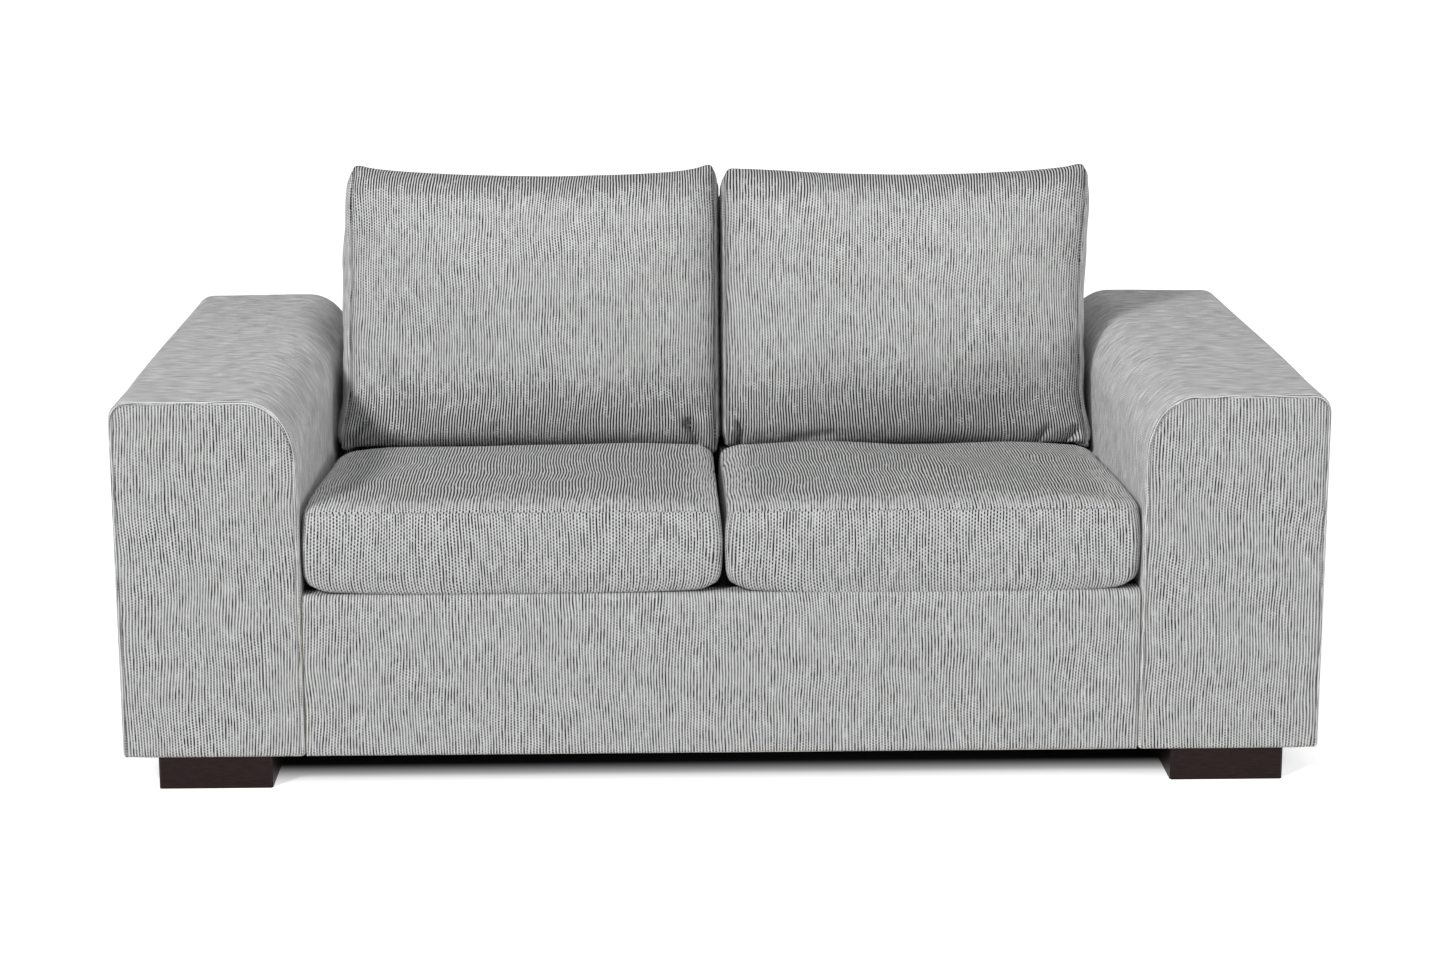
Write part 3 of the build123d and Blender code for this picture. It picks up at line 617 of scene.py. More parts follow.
def seat_top_height(y, share):
    """The top's height before it rolls off, its crown, which wanes to the rear and dies out at the sides, and
    how far along it is to where the back cushion presses."""
    along = np.clip((y - seat_front_seam_y) / (seat_press_y - seat_front_seam_y), 0, 1)
    line = seat_seam_z + (seat_press_z - seat_seam_z) * along - seat_fall * np.maximum(y - seat_press_y, 0)
    risen = 1 - np.clip(1 - 2 * along, 0, 1) ** 2.2
    arch = risen * (1 - 0.7 * fade(along, 0.5, 0.93)) * (1 - fade(along, 0.93, 1.0))
    return line, seat_crown * arch * (1 - np.abs(share) ** 3), along


def make_seat_cushion(side, x_from, x_to, seed, rear_drop, hang):
    """A seat cushion between two X values, with the drops of its outer rear corner and its front's foot."""
    out = outwards[side]
    centre_x = (x_from + x_to) / 2
    centre_y = (seat_front_seam_y + seat_rear_y) / 2
    half_p = (x_to - x_from) / 2
    half_q = (seat_rear_y - seat_front_seam_y) / 2

    def at_front_corner(p, q):
        """One at the two front corners, dying out quickly along the edges."""
        return fade(np.abs(p / half_p), 0.90, 1.0) * fade(-q / half_q, 0.86, 1.0)

    def top(p, q, from_edge):
        """The crowned top panel."""
        y = centre_y + q
        line, arch, along = seat_top_height(y, p / half_p)
        before_press = 1 - fade(y, seat_press_y - 0.02, seat_press_y + 0.03)
        before_rear = 1 - fade(y, seat_press_y + 0.03, seat_rear_y)
        roll = seat_roll_height * (1 - 0.45 * along) * (0.3 + 0.7 * before_press)
        roll = roll * quarter_roll(from_edge, seat_roll_width)
        soft = seat_softness * unevenness(p, q, seed, 0.26) * quarter_roll(from_edge, 0.12) * before_press
        corner = seat_lift * at_front_corner(p, q)
        sunk = rear_drop * fade(along, 0.35, 1.0) * np.clip(out * p / half_p, 0, 1) ** 5
        sunk = sunk + side_fall(half_p - np.abs(p), along) * before_rear
        return p, q, line + arch * quarter_roll(from_edge, seat_crown_width) + roll + soft - corner - sunk

    def bottom(p, q, from_edge):
        """The flat bottom, drawn in from the seam's outline and lifted at its rim and front corners. Between
        them its front edge hangs over the rail's round edge."""
        corner = at_front_corner(p, q)
        hanging = fade(-q / half_q, 0.97, 1.0) * (1 - np.abs(p / half_p) ** 4)
        draw_in = seat_bottom_inset + 0.002 * corner
        front_in = draw_in - 0.006 * hanging
        lift = seat_lift * (corner * (1 - quarter_roll(from_edge, 0.05)) + 1 - quarter_roll(from_edge, 0.02))
        z = seat_bottom_z + lift * (1 - hanging) - hang * hanging
        return p * (1 - draw_in / half_p), q * (1 - front_in / half_q), z

    def bulge(share, length, p, q):
        """Out by a few millimetres in the middle of the boxing."""
        at_front = fade(-q / half_q, 0.9, 1.0)
        out_by = seat_bulge + seat_front_bulge * at_front + seat_corner_bulge * at_front_corner(p, q)
        wander = 0.0010 * unevenness(length, share * 0.13, seed + 7, 0.17) * np.sin(pi * share)
        return out_by * np.sin(pi * share) ** 0.7 + wander * at_front

    def place(p, q, n):
        """From the cushion's own directions to the sofa's."""
        return stacked(centre_x + p, centre_y + q, n)

    def open_cords_and_shading(p, q, from_edge):
        """The top's dark grooves are wide over its crown, partly for open cords and partly as painted shade
        on the top, and narrower at its roll.
        """
        return 0.52 + 0.44 * fade(from_edge, 0.005, 0.07)

    piece = boxed_cushion(
        "seat_cushion_" + side, (half_p, half_q), seat_corner_radii, (top, bottom, bulge, place), 0.22,
        (centre_x, centre_y, 0.37), False, 0.13 * seed, 0.22, (open_cords_and_shading, 0.5, 0.5),
    )
    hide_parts("seat_cushion_cover_" + side)
    return piece


seat_right = make_seat_cushion("right", 0.0085, 0.6340, 3, 0.008, 0.005)
seat_left = make_seat_cushion("left", -0.6340, -0.0045, 8, 0.013, 0.001)

# %% [markdown]
# ## The back cushions
# They are softer, filled with fibre. The front panel swells, rolls over the top and ends in a seam behind
# the roll, and the boxing bulges at the outer sides. The inner sides press flat against each other and wave
# in step, so that no light falls through. The top edge sags between two stiff corners, and the cloth folds
# near the lower corners, where the fibre doesn't fill it.

# %% Make the back cushions
back_thickness = 0.196
back_low_z = 0.4273
back_seam_top_z = 0.8685
top_roll_radius = 0.050
bottom_roll_radius = 0.030
top_roll_turn = radians(96)
bottom_roll_turn = radians(78)
back_side_roll = 0.030
back_side_roll_width = 0.055
back_swell = 0.048
back_corner_radii = (0.012, 0.046)
back_inner_push = 0.008
back_outer_push = 0.020
back_top_push = 0.0085
seam_out_at_top = 0.009
seam_out_at_foot = 0.011
rear_panel_gap = 0.0015
rear_panel_roll = 0.014
rear_panel_roll_width = 0.035
rear_panel_top_drop = 0.022
rear_panel_foot_lift = 0.004
back_wave_depth = 0.0025
back_softness = 0.0045
back_pinch = 0.006
back_pucker = 0.0014
top_edge_lift = 0.016
outer_ear = 0.006
foot_dip_share = 0.85
foot_clearance = 0.0006
side_clearance = 0.007
back_low_height = height_at(back_thickness, back_low_z)


def seat_contact_height(distance):
    """How far up along the lean the seat's falling top lies."""
    ahead = back_foot_y - distance * cos(lean) - seat_press_y
    level = seat_press_z + foot_clearance - seat_base_top - distance * sin(lean)
    return (level - seat_fall * ahead) / (cos(lean) + seat_fall * sin(lean))


def make_back_cushion(side, foot_x, top_x, seed, sag, inner_ear, folds):
    """A back cushion between its inner and outer X at the foot and the top. Along p, outwards is positive."""
    out = outwards[side]
    height = height_at(back_thickness, back_seam_top_z) - back_low_height
    straight = height - top_roll_radius - bottom_roll_radius
    bottom_arc = bottom_roll_radius * bottom_roll_turn
    top_arc = top_roll_radius * top_roll_turn
    half_q = (bottom_arc + straight + top_arc) / 2
    half_p = abs(foot_x[1] - foot_x[0]) / 2 - (back_inner_push + back_outer_push) / 2

    def across(share, rise):
        """X at a share of the half width and a rise from foot to top. What a share has past one, beyond the
        seams, is a distance in metres."""
        lift = np.clip(rise, 0, 1)
        seam_in = back_outer_push - seam_out_at_top * fade(lift, 0.55, 1.0)
        seam_in = seam_in - seam_out_at_foot * (1 - fade(lift, 0.0, 0.2))
        outer = foot_x[1] + (top_x[1] - foot_x[1]) * lift**3 - out * seam_in
        inner = foot_x[0] + (top_x[0] - foot_x[0]) * lift + out * back_inner_push
        held = np.clip(share, -1, 1)
        return (outer + inner) / 2 + held * (outer - inner) / 2 + out * (share - held)

    def top_rise(share):
        """How much the top edge lifts from its lowest place to the corners and their stiff ears."""
        lift = top_edge_lift * np.abs((share - sag) / (1 + abs(sag))) ** 2.0
        return lift + np.where(share > 0, outer_ear, inner_ear) * np.abs(share) ** 10

    def front(p, q, from_edge):
        """The front panel: round under the foot, up the swollen face and over the top's roll."""
        place_q = q + half_q
        share = p / half_p
        turn_low = np.clip(1 - place_q / bottom_arc, 0, 1) * bottom_roll_turn
        turn_high = np.clip((place_q - bottom_arc - straight) / top_arc, 0, 1) * top_roll_turn
        run = np.clip(place_q - bottom_arc, 0, straight)
        face_share = np.clip(place_q / (bottom_arc + straight + top_arc * 0.7), 0, 1)
        h = bottom_roll_radius * (1 - np.sin(turn_low)) + run + top_roll_radius * np.sin(turn_high)
        n = back_thickness - bottom_roll_radius * (1 - np.cos(turn_low))
        n = n - top_roll_radius * (1 - np.cos(turn_high))
        h = h + top_rise(share) * np.clip(h / height, 0, 1) ** 3
        swell = back_swell * np.clip(1 - np.abs(2 * face_share - 1) ** 2.4, 0, None)
        swell = swell * (1 - np.abs(share) ** 3.4)
        side_roll = back_side_roll * (1 - quarter_roll((1 - np.abs(share)) * half_p, back_side_roll_width))
        side_roll = side_roll * (0.35 + 0.65 * fade(face_share, 0.0, 0.16))
        on_face = fade(np.cos(turn_high) * np.cos(turn_low), 0.2, 0.9)
        pinch = back_pinch * bell(from_edge, 0.006) * on_face
        n = n + swell - (side_roll + pinch) * on_face
        n = n + back_softness * unevenness(p, q, seed, 0.24) * quarter_roll(from_edge, 0.10) * on_face
        n = n + back_pucker * unevenness(0.4 * p, q, seed + 5, 0.028) * bell(from_edge, 0.024)
        for start, end, depth, width in folds:
            n = n + depth * crease(p, h, start, end, width) * quarter_roll(from_edge, 0.010)
        return share, h, n

    def rear(p, q, from_edge):
        """The flat rear panel, down to the seat's falling top and a little rounded at its rim."""
        share = p / half_p
        rise = (q / half_q + 1) / 2
        n = rear_panel_gap + rear_panel_roll * (1 - quarter_roll(from_edge, rear_panel_roll_width))
        low = seat_contact_height(n) - back_low_height + rear_panel_foot_lift
        high = height - rear_panel_top_drop + top_rise(share) * 0.9
        return share, low + (high - low) * rise, n

    def bulge(share, length, p, q):
        """The boxing's push: full at the sides, less over the top and none below, where the cushion stands on
        the seat. The inner side is flat, with one wave in its middle."""
        outer_side = p > 0
        at_side = fade(np.abs(p), half_p - 0.02, half_p)
        above_foot = np.maximum(fade(q, -half_q, -half_q + 0.035), 0.55 * at_side)
        over_top = fade(q, half_q - 0.02, half_q)
        to_corner = 1 - 0.35 * fade(q, 0.3 * half_q, half_q)
        swollen = np.sin(pi * share) ** 0.55
        flat = back_inner_push * quarter_roll(np.minimum(share, 1 - share), 0.4)
        wave = back_wave_depth * out * np.sin(5 * pi * (share - 0.5))
        wave = wave * (1 - fade(np.abs(share - 0.5), 0.15, 0.2))
        width = np.where(outer_side, back_outer_push * 0.98 * to_corner, back_inner_push) * (1 - over_top)
        width = width + back_top_push * over_top
        width = width + np.where(outer_side, 0.0022, 0.0003) * unevenness(length, share * 0.2, seed + 3, 0.10)
        width = width * swollen
        width = width + np.where(outer_side, 0, flat - back_inner_push * swollen - wave) * (1 - over_top)
        return width * above_foot - 0.002 * (1 - above_foot) * np.sin(pi * share)

    def place(share, h, n):
        """From the cushion's own directions to the sofa's. The foot dips where the seat's sides fall off."""
        x = across(share, h / height)
        from_side = np.minimum(np.abs(x) - side_clearance, half_between_arms - side_clearance - np.abs(x))
        dip = foot_dip_share * side_fall(np.clip(from_side, 0, 1), 1.0)
        h = np.maximum(h - dip * (1 - fade(h, 0, 0.06)), seat_contact_height(n) - back_low_height - dip)
        return stacked(x, *lean_point(n, h + back_low_height))

    def open_cords_and_shading(p, q, from_edge):
        """The dark grooves widen over the top's roll and towards the foot: partly cords pulled apart, partly
        painted shade on the roll and in the shadow near the foot.
        """
        at_top = fade(q, half_q - top_arc - 0.02, half_q - top_arc * 0.5)
        at_foot = 1 - fade(q, -half_q + bottom_arc, -half_q + bottom_arc + 0.12)
        return 0.48 + 0.56 * at_top + 0.46 * at_foot

    piece = boxed_cushion(
        "back_cushion_" + side, (half_p, half_q), back_corner_radii, (front, rear, bulge, place), 1,
        (sum(foot_x) / 2, 0.19, 0.65), True, 0.17 * seed, 0.75, (open_cords_and_shading, 0.5, 0.3),
    )
    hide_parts("back_cushion_cover_" + side)
    return piece


# Each fold: where it starts and ends (along p and up from the foot), its depth and its width
right_folds = (
    ((-0.297, 0.000), (-0.290, 0.048), 0.026, 0.009),
    ((-0.280, 0.000), (-0.274, 0.024), -0.022, 0.006),
    ((-0.274, 0.024), (-0.286, 0.056), -0.018, 0.006),
    ((-0.196, 0.006), (-0.120, 0.016), -0.008, 0.006),
    ((0.258, 0.000), (0.284, 0.024), -0.016, 0.006),
    ((0.276, -0.006), (0.292, 0.014), 0.012, 0.007),
    ((0.212, 0.000), (0.236, 0.026), -0.012, 0.006),
)
left_folds = (
    ((-0.297, 0.000), (-0.286, 0.046), 0.028, 0.011),
    ((-0.280, 0.000), (-0.258, 0.040), -0.026, 0.008),
    ((0.050, 0.004), (0.056, 0.034), -0.009, 0.007),
    ((0.288, 0.300), (0.262, 0.352), -0.007, 0.010),
    ((0.186, 0.016), (0.256, 0.130), -0.007, 0.016),
    ((0.292, 0.004), (0.266, 0.036), -0.010, 0.008),
)
back_right = make_back_cushion("right", (0.0122, 0.6340), (0.0122, 0.6430), 4, 0.05, -0.006, right_folds)
back_left = make_back_cushion("left", (0.0088, -0.6310), (0.0088, -0.6185), 9, -0.10, 0.011, left_folds)

# %% [markdown]
# ## Two sheets of cloth
# A thin black cloth closes the sofa below, and a strong one lies on the springs. Both are single sheets.

# %% Lay the sheets
foot_places = [(x, y) for x in (-0.779, 0.779) for y in (-0.391, 0.391)]
dust_half_x = 0.916
dust_half_y = 0.476
dust_sag = 0.003


def dust_sheet():
    """The cloth below: flat at its edges and over the feet, and sagging between."""
    across = np.linspace(-dust_half_x, dust_half_x, 150)
    x, y = np.meshgrid(across, np.linspace(-dust_half_y, dust_half_y, 80))
    free = (1 - (x / dust_half_x) ** 8) * (1 - (y / dust_half_y) ** 6)
    for foot_x, foot_y in foot_places:
        free = free * fade(np.hypot(x - foot_x, y - foot_y), 0.13, 0.24)
    z = base_z + 0.0003 - dust_sag * free * (0.8 + 0.2 * unevenness(x, y, 51, 0.4))
    return panel(stacked(x, y, z), stacked(x, y))


def deck_sheet():
    """The cloth on the springs, with shallow hollows between them."""
    x, y = np.meshgrid(np.linspace(-0.6380, 0.6380, 120), np.linspace(-0.437, 0.1935, 64))
    z = 0.3037 - 0.0008 * (1 + unevenness(x, y, 61, 0.15)) / 2
    return panel(stacked(x, y, z), stacked(x, y))


dust_cloth = sewn("dust_cloth", [dust_sheet()], (0, 0, 1), "frame")
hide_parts("dust_cover")
deck = sewn("deck_sheet", [deck_sheet()], (0, -0.1, -1), "frame")
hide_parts("deck_cloth")

# %% [markdown]
# ## Materials
# Short functions turn hex colours into Blender's linear ones and build the node trees. All scales come from
# real sizes.

# %% Small helpers for materials
def colour(hex_value):
    """A hex colour as linear red, green, blue and alpha."""
    channels = np.array([int(hex_value[i:i + 2], 16) for i in (1, 3, 5)]) / 255
    linear = np.where(channels <= 0.04045, channels / 12.92, ((channels + 0.055) / 1.055) ** 2.4)
    return (*linear.tolist(), 1.0)


def add_node(tree, kind, inputs=None, **settings):
    """Adds a shader node, sets its settings, and links or sets its inputs."""
    node = tree.nodes.new("ShaderNode" + kind)
    for key, value in settings.items():
        setattr(node, key, value)
    for socket, value in (inputs or {}).items():
        if isinstance(value, bpy.types.NodeSocket):
            tree.links.new(value, node.inputs[socket])
        else:
            node.inputs[socket].default_value = value
    return node


def add(tree, kind, inputs=None, out=0, **settings):
    """Adds a node in the same way and returns one of its outputs."""
    return add_node(tree, kind, inputs, **settings).outputs[out]


def cleared(holder):
    """The node tree of a material or world, switched on and emptied."""
    holder.use_nodes = True
    holder.node_tree.nodes.clear()
    return holder.node_tree


def started(name, finish):
    """A new material, its tree, and its main shader with these inputs, joined to the output."""
    material = bpy.data.materials.new(name)
    tree = cleared(material)
    shader = add_node(tree, "BsdfPrincipled", finish)
    add_node(tree, "OutputMaterial", {"Surface": shader.outputs[0]})
    return material, tree, shader


def ranged(tree, value, low, high, at_low, at_high, kind="SMOOTHSTEP"):
    """A value between two limits, carried over to two others."""
    inputs = {"Value": value, "From Min": low, "From Max": high, "To Min": at_low, "To Max": at_high}
    return add(tree, "MapRange", inputs, interpolation_type=kind)


def bumped(tree, shader, height, depth, strength):
    """Gives a shader's surface a bump of a real depth."""
    normal = add(tree, "Bump", {"Height": height, "Distance": depth, "Strength": strength})
    tree.links.new(normal, shader.inputs["Normal"])


# %% [markdown]
# ## The corded upholstery fabric
# It is a thick polyester weave: light grey yarns stand up as cords, and a black yarn shows between them as
# dots that step sideways from cord to cord, and here and there as a streak a few centimetres long. A mark on
# each piece widens the grooves and lightens the cords, partly for how the cords lie and partly as painted
# shade and painted light. The pattern is drawn on the cloth's own UV map.

# %% Weave the upholstery fabric
cord_pitch = 0.0046
dot_pitch = 0.0044
streak_length = 0.024
wander_size = 0.16
wander_width = 0.0045
slub_width = 0.009
slub_length = 0.034
light_yarn = "#f4f4f4"
shaded_yarn = "#bcbcbc"
dark_yarn = "#0c0c0c"
cord_height = 0.0012
# How far apart two grooves lie in the noise, so that each has streaks of its own
groove_stride = 7.31
# The noise along a groove at which a streak shows, and at which its dots are whole
streak_limits = (0.49, 0.64)
dot_limits = (0.20, 0.42)
# In shares of a pitch: a dot's edge, a groove's half width, what the mark of open cords and painted shade
# adds to it, and its soft edge
dot_edge = (0.26, 0.38)
groove_half = 0.155
groove_opening_and_shade = 0.06
groove_softness = 0.12
# The mark below which cords count as lying close and are made lighter, as painted light
pressed_and_lit_limits = (0.36, 0.47)


def corded_fabric():
    """Dark dots and streaks in the grooves between light cords. The higher the mark of open cords and painted
    shade, the wider the grooves are and the more dots join into lines; below a limit the cords are lighter,
    as painted light."""
    finish = {"Roughness": 0.92, "Specular IOR Level": 0.2, "Sheen Weight": 0.06, "Sheen Roughness": 0.5}
    material, tree, shader = started("corded_polyester_weave", finish)

    def math(operation, first, second=0.0, **more):
        """A sum, product or the like of one or two values."""
        return add(tree, "Math", {0: first, 1: second}, operation=operation, **more)

    plus, minus, times, larger = (partial(math, name) for name in ("ADD", "SUBTRACT", "MULTIPLY", "MAXIMUM"))
    between = partial(ranged, tree)

    def from_middle(value):
        """How far a value's fraction lies from a half."""
        return math("ABSOLUTE", minus(math("FRACT", value), 0.5))

    def noise(place, detail=1.0):
        """A smooth noise of about a half."""
        return add(tree, "TexNoise", {"Vector": place, "Scale": 1.0, "Detail": detail})

    def scaled(x_scale, y_scale):
        """The place on the cloth, scaled across and along."""
        return add(tree, "Mapping", {"Vector": uv, "Scale": (x_scale, y_scale, 1.0)})

    def mixed(factor, first, second):
        """Two colours: inputs 6 and 7 of the node and its output 2 are the coloured ones."""
        return add(tree, "Mix", {0: factor, 6: first, 7: second}, out=2, data_type="RGBA")

    uv = add(tree, "UVMap", uv_map="cloth")
    flat = add_node(tree, "SeparateXYZ", {0: uv})
    spread_and_shading, stitch = (add(tree, "Attribute", out="Fac", attribute_name=name) for name in ("spread_and_shading", "stitch"))

    shift = times(minus(noise(scaled(1 / wander_size, 1 / wander_size)), 0.5), 4 * wander_width)
    ripple = times(minus(noise(scaled(8 / wander_size, 4 / wander_size)), 0.5), 0.6 * wander_width)
    across = math("DIVIDE", plus(flat.outputs[0], plus(shift, ripple)), cord_pitch)
    along = math("DIVIDE", plus(flat.outputs[1], shift), dot_pitch)
    groove_number = math("FLOOR", across)
    from_groove = from_middle(across)
    stepped = plus(along, times(groove_number, 0.5))
    from_dot = from_middle(stepped)

    streak_place = math("DIVIDE", flat.outputs[1], streak_length)
    groove_places = add(tree, "CombineXYZ", {0: times(groove_number, groove_stride), 1: streak_place, 2: 0.0})
    slub = minus(noise(scaled(1 / slub_width, 1 / slub_length)), 0.5)
    # A low mark makes the cords lighter, as painted light; a high one widens the grooves and joins dots into
    # streaks, partly as painted shade
    pressed_and_lit = between(spread_and_shading, *pressed_and_lit_limits, 1.0, 0.0)
    opened_and_shaded = times(minus(spread_and_shading, 0.5), 0.42)
    opened_and_shaded = plus(opened_and_shaded, times(slub, plus(times(pressed_and_lit, 0.45), 0.15)))
    joined = plus(noise(groove_places, 2.0), opened_and_shaded)
    dot_number = add(tree, "CombineXYZ", {0: groove_number, 1: math("FLOOR", stepped), 2: 0.0})
    chance = add(tree, "TexWhiteNoise", {"Vector": dot_number}, out="Value")
    streak = between(joined, *streak_limits, 0.0, 0.9)
    dot_strength = times(between(joined, *dot_limits, 0.35, 1.0), between(chance, 0.0, 0.4, 0.75, 1.0))
    dot = between(from_dot, *dot_edge, 1.0, 0.0)
    inner_edge = plus(times(spread_and_shading, groove_opening_and_shade), groove_half)
    groove = between(from_groove, inner_edge, plus(inner_edge, groove_softness), 1.0, 0.0)
    dark = times(groove, larger(times(dot, dot_strength), streak))
    dark = larger(dark, times(stitch, plus(times(dot, 0.45), 0.55)), use_clamp=True)

    fuzz = noise(scaled(900.0, 260.0), 2.0)
    # The cords are lighter on their crowns and at their knots, and darker on their flanks by the grooves:
    # painted shade of their round form
    knots_and_flank_shade = times(between(from_groove, 0.1, 0.5, 0.3, 1.0), between(from_dot, 0.0, 0.5, 1.0, 0.55))
    # Lightness: fuzz, the knots with their painted flank shade, and painted light where the cords lie close
    lightness = plus(plus(times(fuzz, 0.5), times(knots_and_flank_shade, 0.6)), times(pressed_and_lit, 0.3))
    lightness = minus(lightness, times(slub, plus(times(pressed_and_lit, 1.0), 0.5)), use_clamp=True)
    yarn = mixed(lightness, colour(shaded_yarn), colour(light_yarn))
    tree.links.new(mixed(dark, yarn, colour(dark_yarn)), shader.inputs["Base Color"])
    bumped(tree, shader, minus(times(plus(fuzz, knots_and_flank_shade), 0.4), times(dark, 0.8)), cord_height, 0.6)
    return material


fabric = corded_fabric()
upholstered = arm_covers + [front_rail_cloth, inside_back, outside_back]
upholstered += [seat_right, seat_left, back_right, back_left]
for cover in upholstered:
    cover.data.materials.append(fabric)
print("upholstered pieces:", len(upholstered))

# %% [markdown]
# ## The feet and the hidden materials
# The feet are stained beech under a satin lacquer, and its grain barely shows through the near black stain.
# Inside are pine, plywood, hardboard, foam, fibre, felt, webbing, spring steel and zinc-plated bolts. They
# show when the sofa is taken apart, so each has its own simple finish.

# %% Finish the feet and the hidden pieces
ramp_places = (0.35, 0.65)


def two_toned(
    name, dark_hex, light_hex, size, roughness, depth,
    metallic=0.0, specular=0.5, stretch=(1, 1, 1), detail=3.0, distortion=0.0, strength=0.5,
):
    """Two colours mixed by noise of a real size, with a bump of a real depth."""
    finish = {"Roughness": roughness, "Metallic": metallic, "Specular IOR Level": specular}
    material, tree, shader = started(name, finish)
    place = add(tree, "TexCoord", out="Object")
    scaled = add(tree, "Mapping", {"Vector": place, "Scale": tuple(s / size for s in stretch)})
    inputs = {"Vector": scaled, "Scale": 1.0, "Detail": detail, "Distortion": distortion}
    mottles = add(tree, "TexNoise", inputs)
    ramp = add_node(tree, "ValToRGB", {"Fac": mottles})
    for element, at, hex_value in zip(ramp.color_ramp.elements, ramp_places, (dark_hex, light_hex)):
        element.position = at
        element.color = colour(hex_value)
    tree.links.new(ramp.outputs["Color"], shader.inputs["Base Color"])
    bumped(tree, shader, mottles, depth, strength)
    return material


# Timber: the noise is ten times as long along X as it is wide
grained = partial(two_toned, depth=0.0002, stretch=(0.1, 1, 1), detail=4.0, distortion=0.6, strength=0.4)
black_sheet = two_toned("spunbond_polypropylene_black", "#0c0c0d", "#1b1b1d", 0.0015, 0.85, 0.0002)
finishes = {
    "foot_wood": grained("stained_beech_satin_lacquer", "#160c0b", "#261716", 0.002, 0.45, specular=0.15),
    "timber": grained("sawn_pine", "#b98f5c", "#dcbb86", 0.004, 0.7),
    "plywood": grained("birch_plywood", "#c7a878", "#dfc79b", 0.006, 0.65),
    "hardboard": two_toned("brown_hardboard", "#5b4030", "#6f5140", 0.002, 0.7, 0.0001),
    "foam": two_toned("cut_polyurethane_foam", "#e3dcc4", "#efe9d6", 0.0012, 0.95, 0.0006),
    "fibre": two_toned("polyester_fibre_wadding", "#e9e9e7", "#f6f6f4", 0.006, 1.0, 0.002),
    "felt": two_toned("grey_needle_felt", "#6d6c6a", "#85837f", 0.002, 1.0, 0.0006),
    "dust_cloth": black_sheet,
    "webbing": two_toned("elastic_webbing_black", "#17171a", "#2a2a2e", 0.0012, 0.8, 0.0003),
    "spring_steel": two_toned("oiled_spring_steel", "#4a4b4e", "#6a6b6e", 0.003, 0.4, 0.00005, metallic=1.0),
    "zinc_steel": two_toned("zinc_plated_steel", "#a8abb0", "#c3c6c9", 0.004, 0.32, 0.00005, metallic=1.0),
    "upholstery": fabric,
}
slot_of = {part["node"]: part["material_slot"] for part in frame["record"]["subparts"]}
print("nodes with a slot:", len(slot_of))
for name, node in nodes.items():
    node.data.materials.clear()
    node.data.materials.append(finishes[slot_of[name]])
for sheet in (dust_cloth, deck):
    sheet.data.materials.append(black_sheet)

# %% [markdown]
# ## The studio
# The sofa stands on a pale floor before plain white. A large lamp high at the front left gives most of the
# light, and weak ones at the right and above fill the shade. The floor adds light of its own to what the
# camera sees, so it is white where nothing shades it. Below the sofa this light fades out and the paint turns
# dark grey, a painted shadow on top of the lamps' own soft shadow.

# %% Build the studio
floor_half = 30.0
shade_inset = 0.118
shade_width = 0.11
white_distance = 1.0
edge_glow = 0.75
painted_shadow_paint = 0.12
open_paint = 0.8
sky_to_lamps = 0.15
lamp_aim = (0, 0, 0.4)


def seen_directly(tree):
    """One for what the camera and mirrors see, zero for light on things."""
    path = add_node(tree, "LightPath")
    rays = {0: path.outputs["Is Camera Ray"], 1: path.outputs["Is Glossy Ray"]}
    return add(tree, "Math", rays, operation="MAXIMUM")


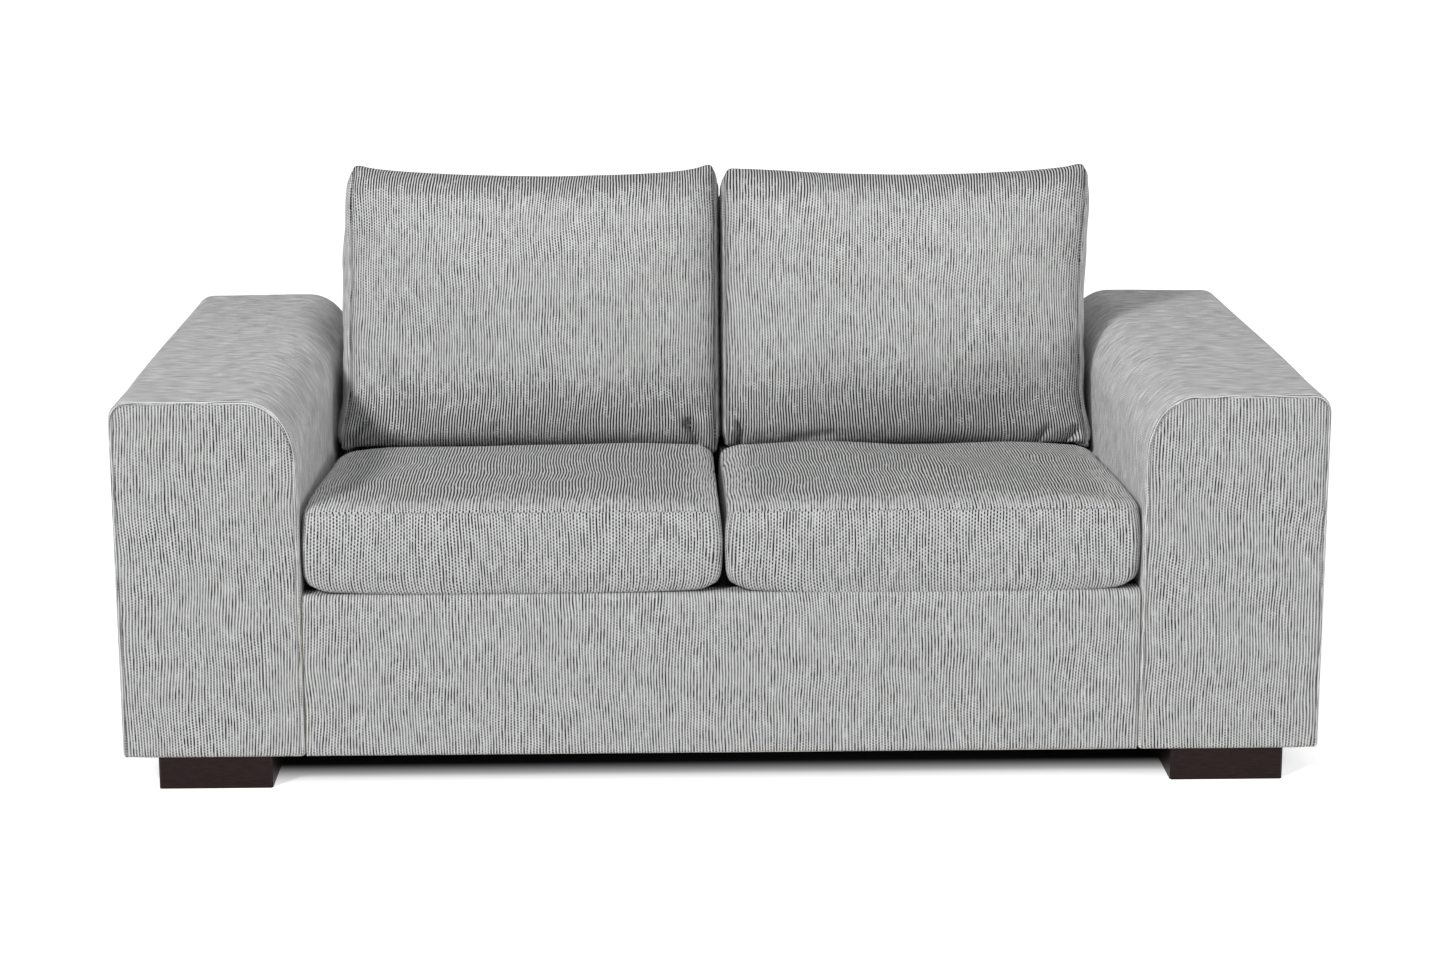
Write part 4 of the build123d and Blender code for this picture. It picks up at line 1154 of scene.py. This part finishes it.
def floor_material():
    """Matt white paint, with light of its own where it is seen: none well below the sofa, three quarters of
    full white at its edge, and full white a metre away. Well below the sofa the paint is dark grey instead;
    the fall of its own light and the darker paint together paint the shadow under the sofa."""
    material = bpy.data.materials.new("matt_white_floor")
    tree = cleared(material)
    place = add(tree, "TexCoord", out="Object")
    folded = add(tree, "VectorMath", {0: place}, operation="ABSOLUTE")
    shade = (half_width - shade_inset, half_depth - shade_inset, 0)
    beyond = add(tree, "VectorMath", {0: folded, 1: shade}, operation="SUBTRACT")
    beyond = add(tree, "VectorMath", {0: beyond, 1: (0, 0, 0)}, operation="MAXIMUM")
    distance = add(tree, "VectorMath", {0: beyond}, out="Value", operation="LENGTH")
    close = ranged(tree, distance, 0.0, shade_width, 0.0, edge_glow)
    far = ranged(tree, distance, shade_width, white_distance, 0.0, 1 - edge_glow, "LINEAR")
    glow = add(tree, "Math", {0: close, 1: far}, operation="ADD")
    # The paint is dark grey well below the sofa, a painted shadow, and light grey in the open
    paint = ranged(tree, close, 0.0, edge_glow, painted_shadow_paint, open_paint, "LINEAR")
    matt = add(tree, "BsdfDiffuse", {"Color": paint})
    own_light = add(tree, "Emission", {"Color": (1, 1, 1, 1), "Strength": glow})
    both = add(tree, "AddShader", {0: matt, 1: own_light})
    mix = add(tree, "MixShader", {0: seen_directly(tree), 1: matt, 2: both})
    add_node(tree, "OutputMaterial", {"Surface": mix})
    return material


floor_mesh = bpy.data.meshes.new("floor")
corners = [(floor_half * x, floor_half * y, 0.0) for x, y in ((-1, -1), (1, -1), (1, 1), (-1, 1))]
floor_mesh.from_pydata(corners, [], [(0, 1, 2, 3)])
floor = placed("floor", floor_mesh)
floor.data.materials.append(floor_material())

world = bpy.data.worlds.new("studio")
bpy.context.scene.world = world
tree = cleared(world)
strength = ranged(tree, seen_directly(tree), 0.0, 1.0, sky_to_lamps, 1.0, "LINEAR")
sky = add(tree, "Background", {"Color": (1, 1, 1, 1), "Strength": strength})
add_node(tree, "OutputWorld", {"Surface": sky})


def lamp(name, place, size, power):
    """A soft lamp of a size in metres and a power in watts, turned to the sofa."""
    data = bpy.data.lights.new(name, "AREA")
    data.shape = "RECTANGLE"
    data.size, data.size_y = size
    data.energy = power
    item = placed(name, data)
    aside, ahead, up = np.subtract(lamp_aim, place)
    item.location = place
    item.rotation_euler = (atan2(np.hypot(aside, ahead), -up), 0, atan2(-aside, ahead))


lamp("key_lamp", (-5.7, -7.3, 6.1), (1.4, 1.4), 640)
lamp("fill_lamp", (5.0, -2.4, 1.3), (2.0, 1.6), 80)
lamp("top_lamp", (0.0, -0.9, 4.0), (3.0, 2.0), 34)

# %% [markdown]
# ## The camera
# It stands four and a half metres in front of the sofa and a metre and a half up, tipped down to it. Its
# place, turn and lens come from a least squares fit to the sofa's known corners. The photograph's lens was
# shifted, which keeps upright edges upright. Here they lean a little.

# %% Place the camera
camera_place = (-0.1067, -4.9730, 1.5167)
tip_down = 0.2264
roll = 0.0018
turn = -0.0233

camera_data = bpy.data.cameras.new("camera")
camera_data.lens = 76.50
camera_data.sensor_width = 36.0
camera = placed("camera", camera_data)
camera.location = camera_place
camera.rotation_euler = (pi / 2 - tip_down, roll, turn)
bpy.context.scene.camera = camera
bpy.context.scene.view_settings.view_transform = "Standard"
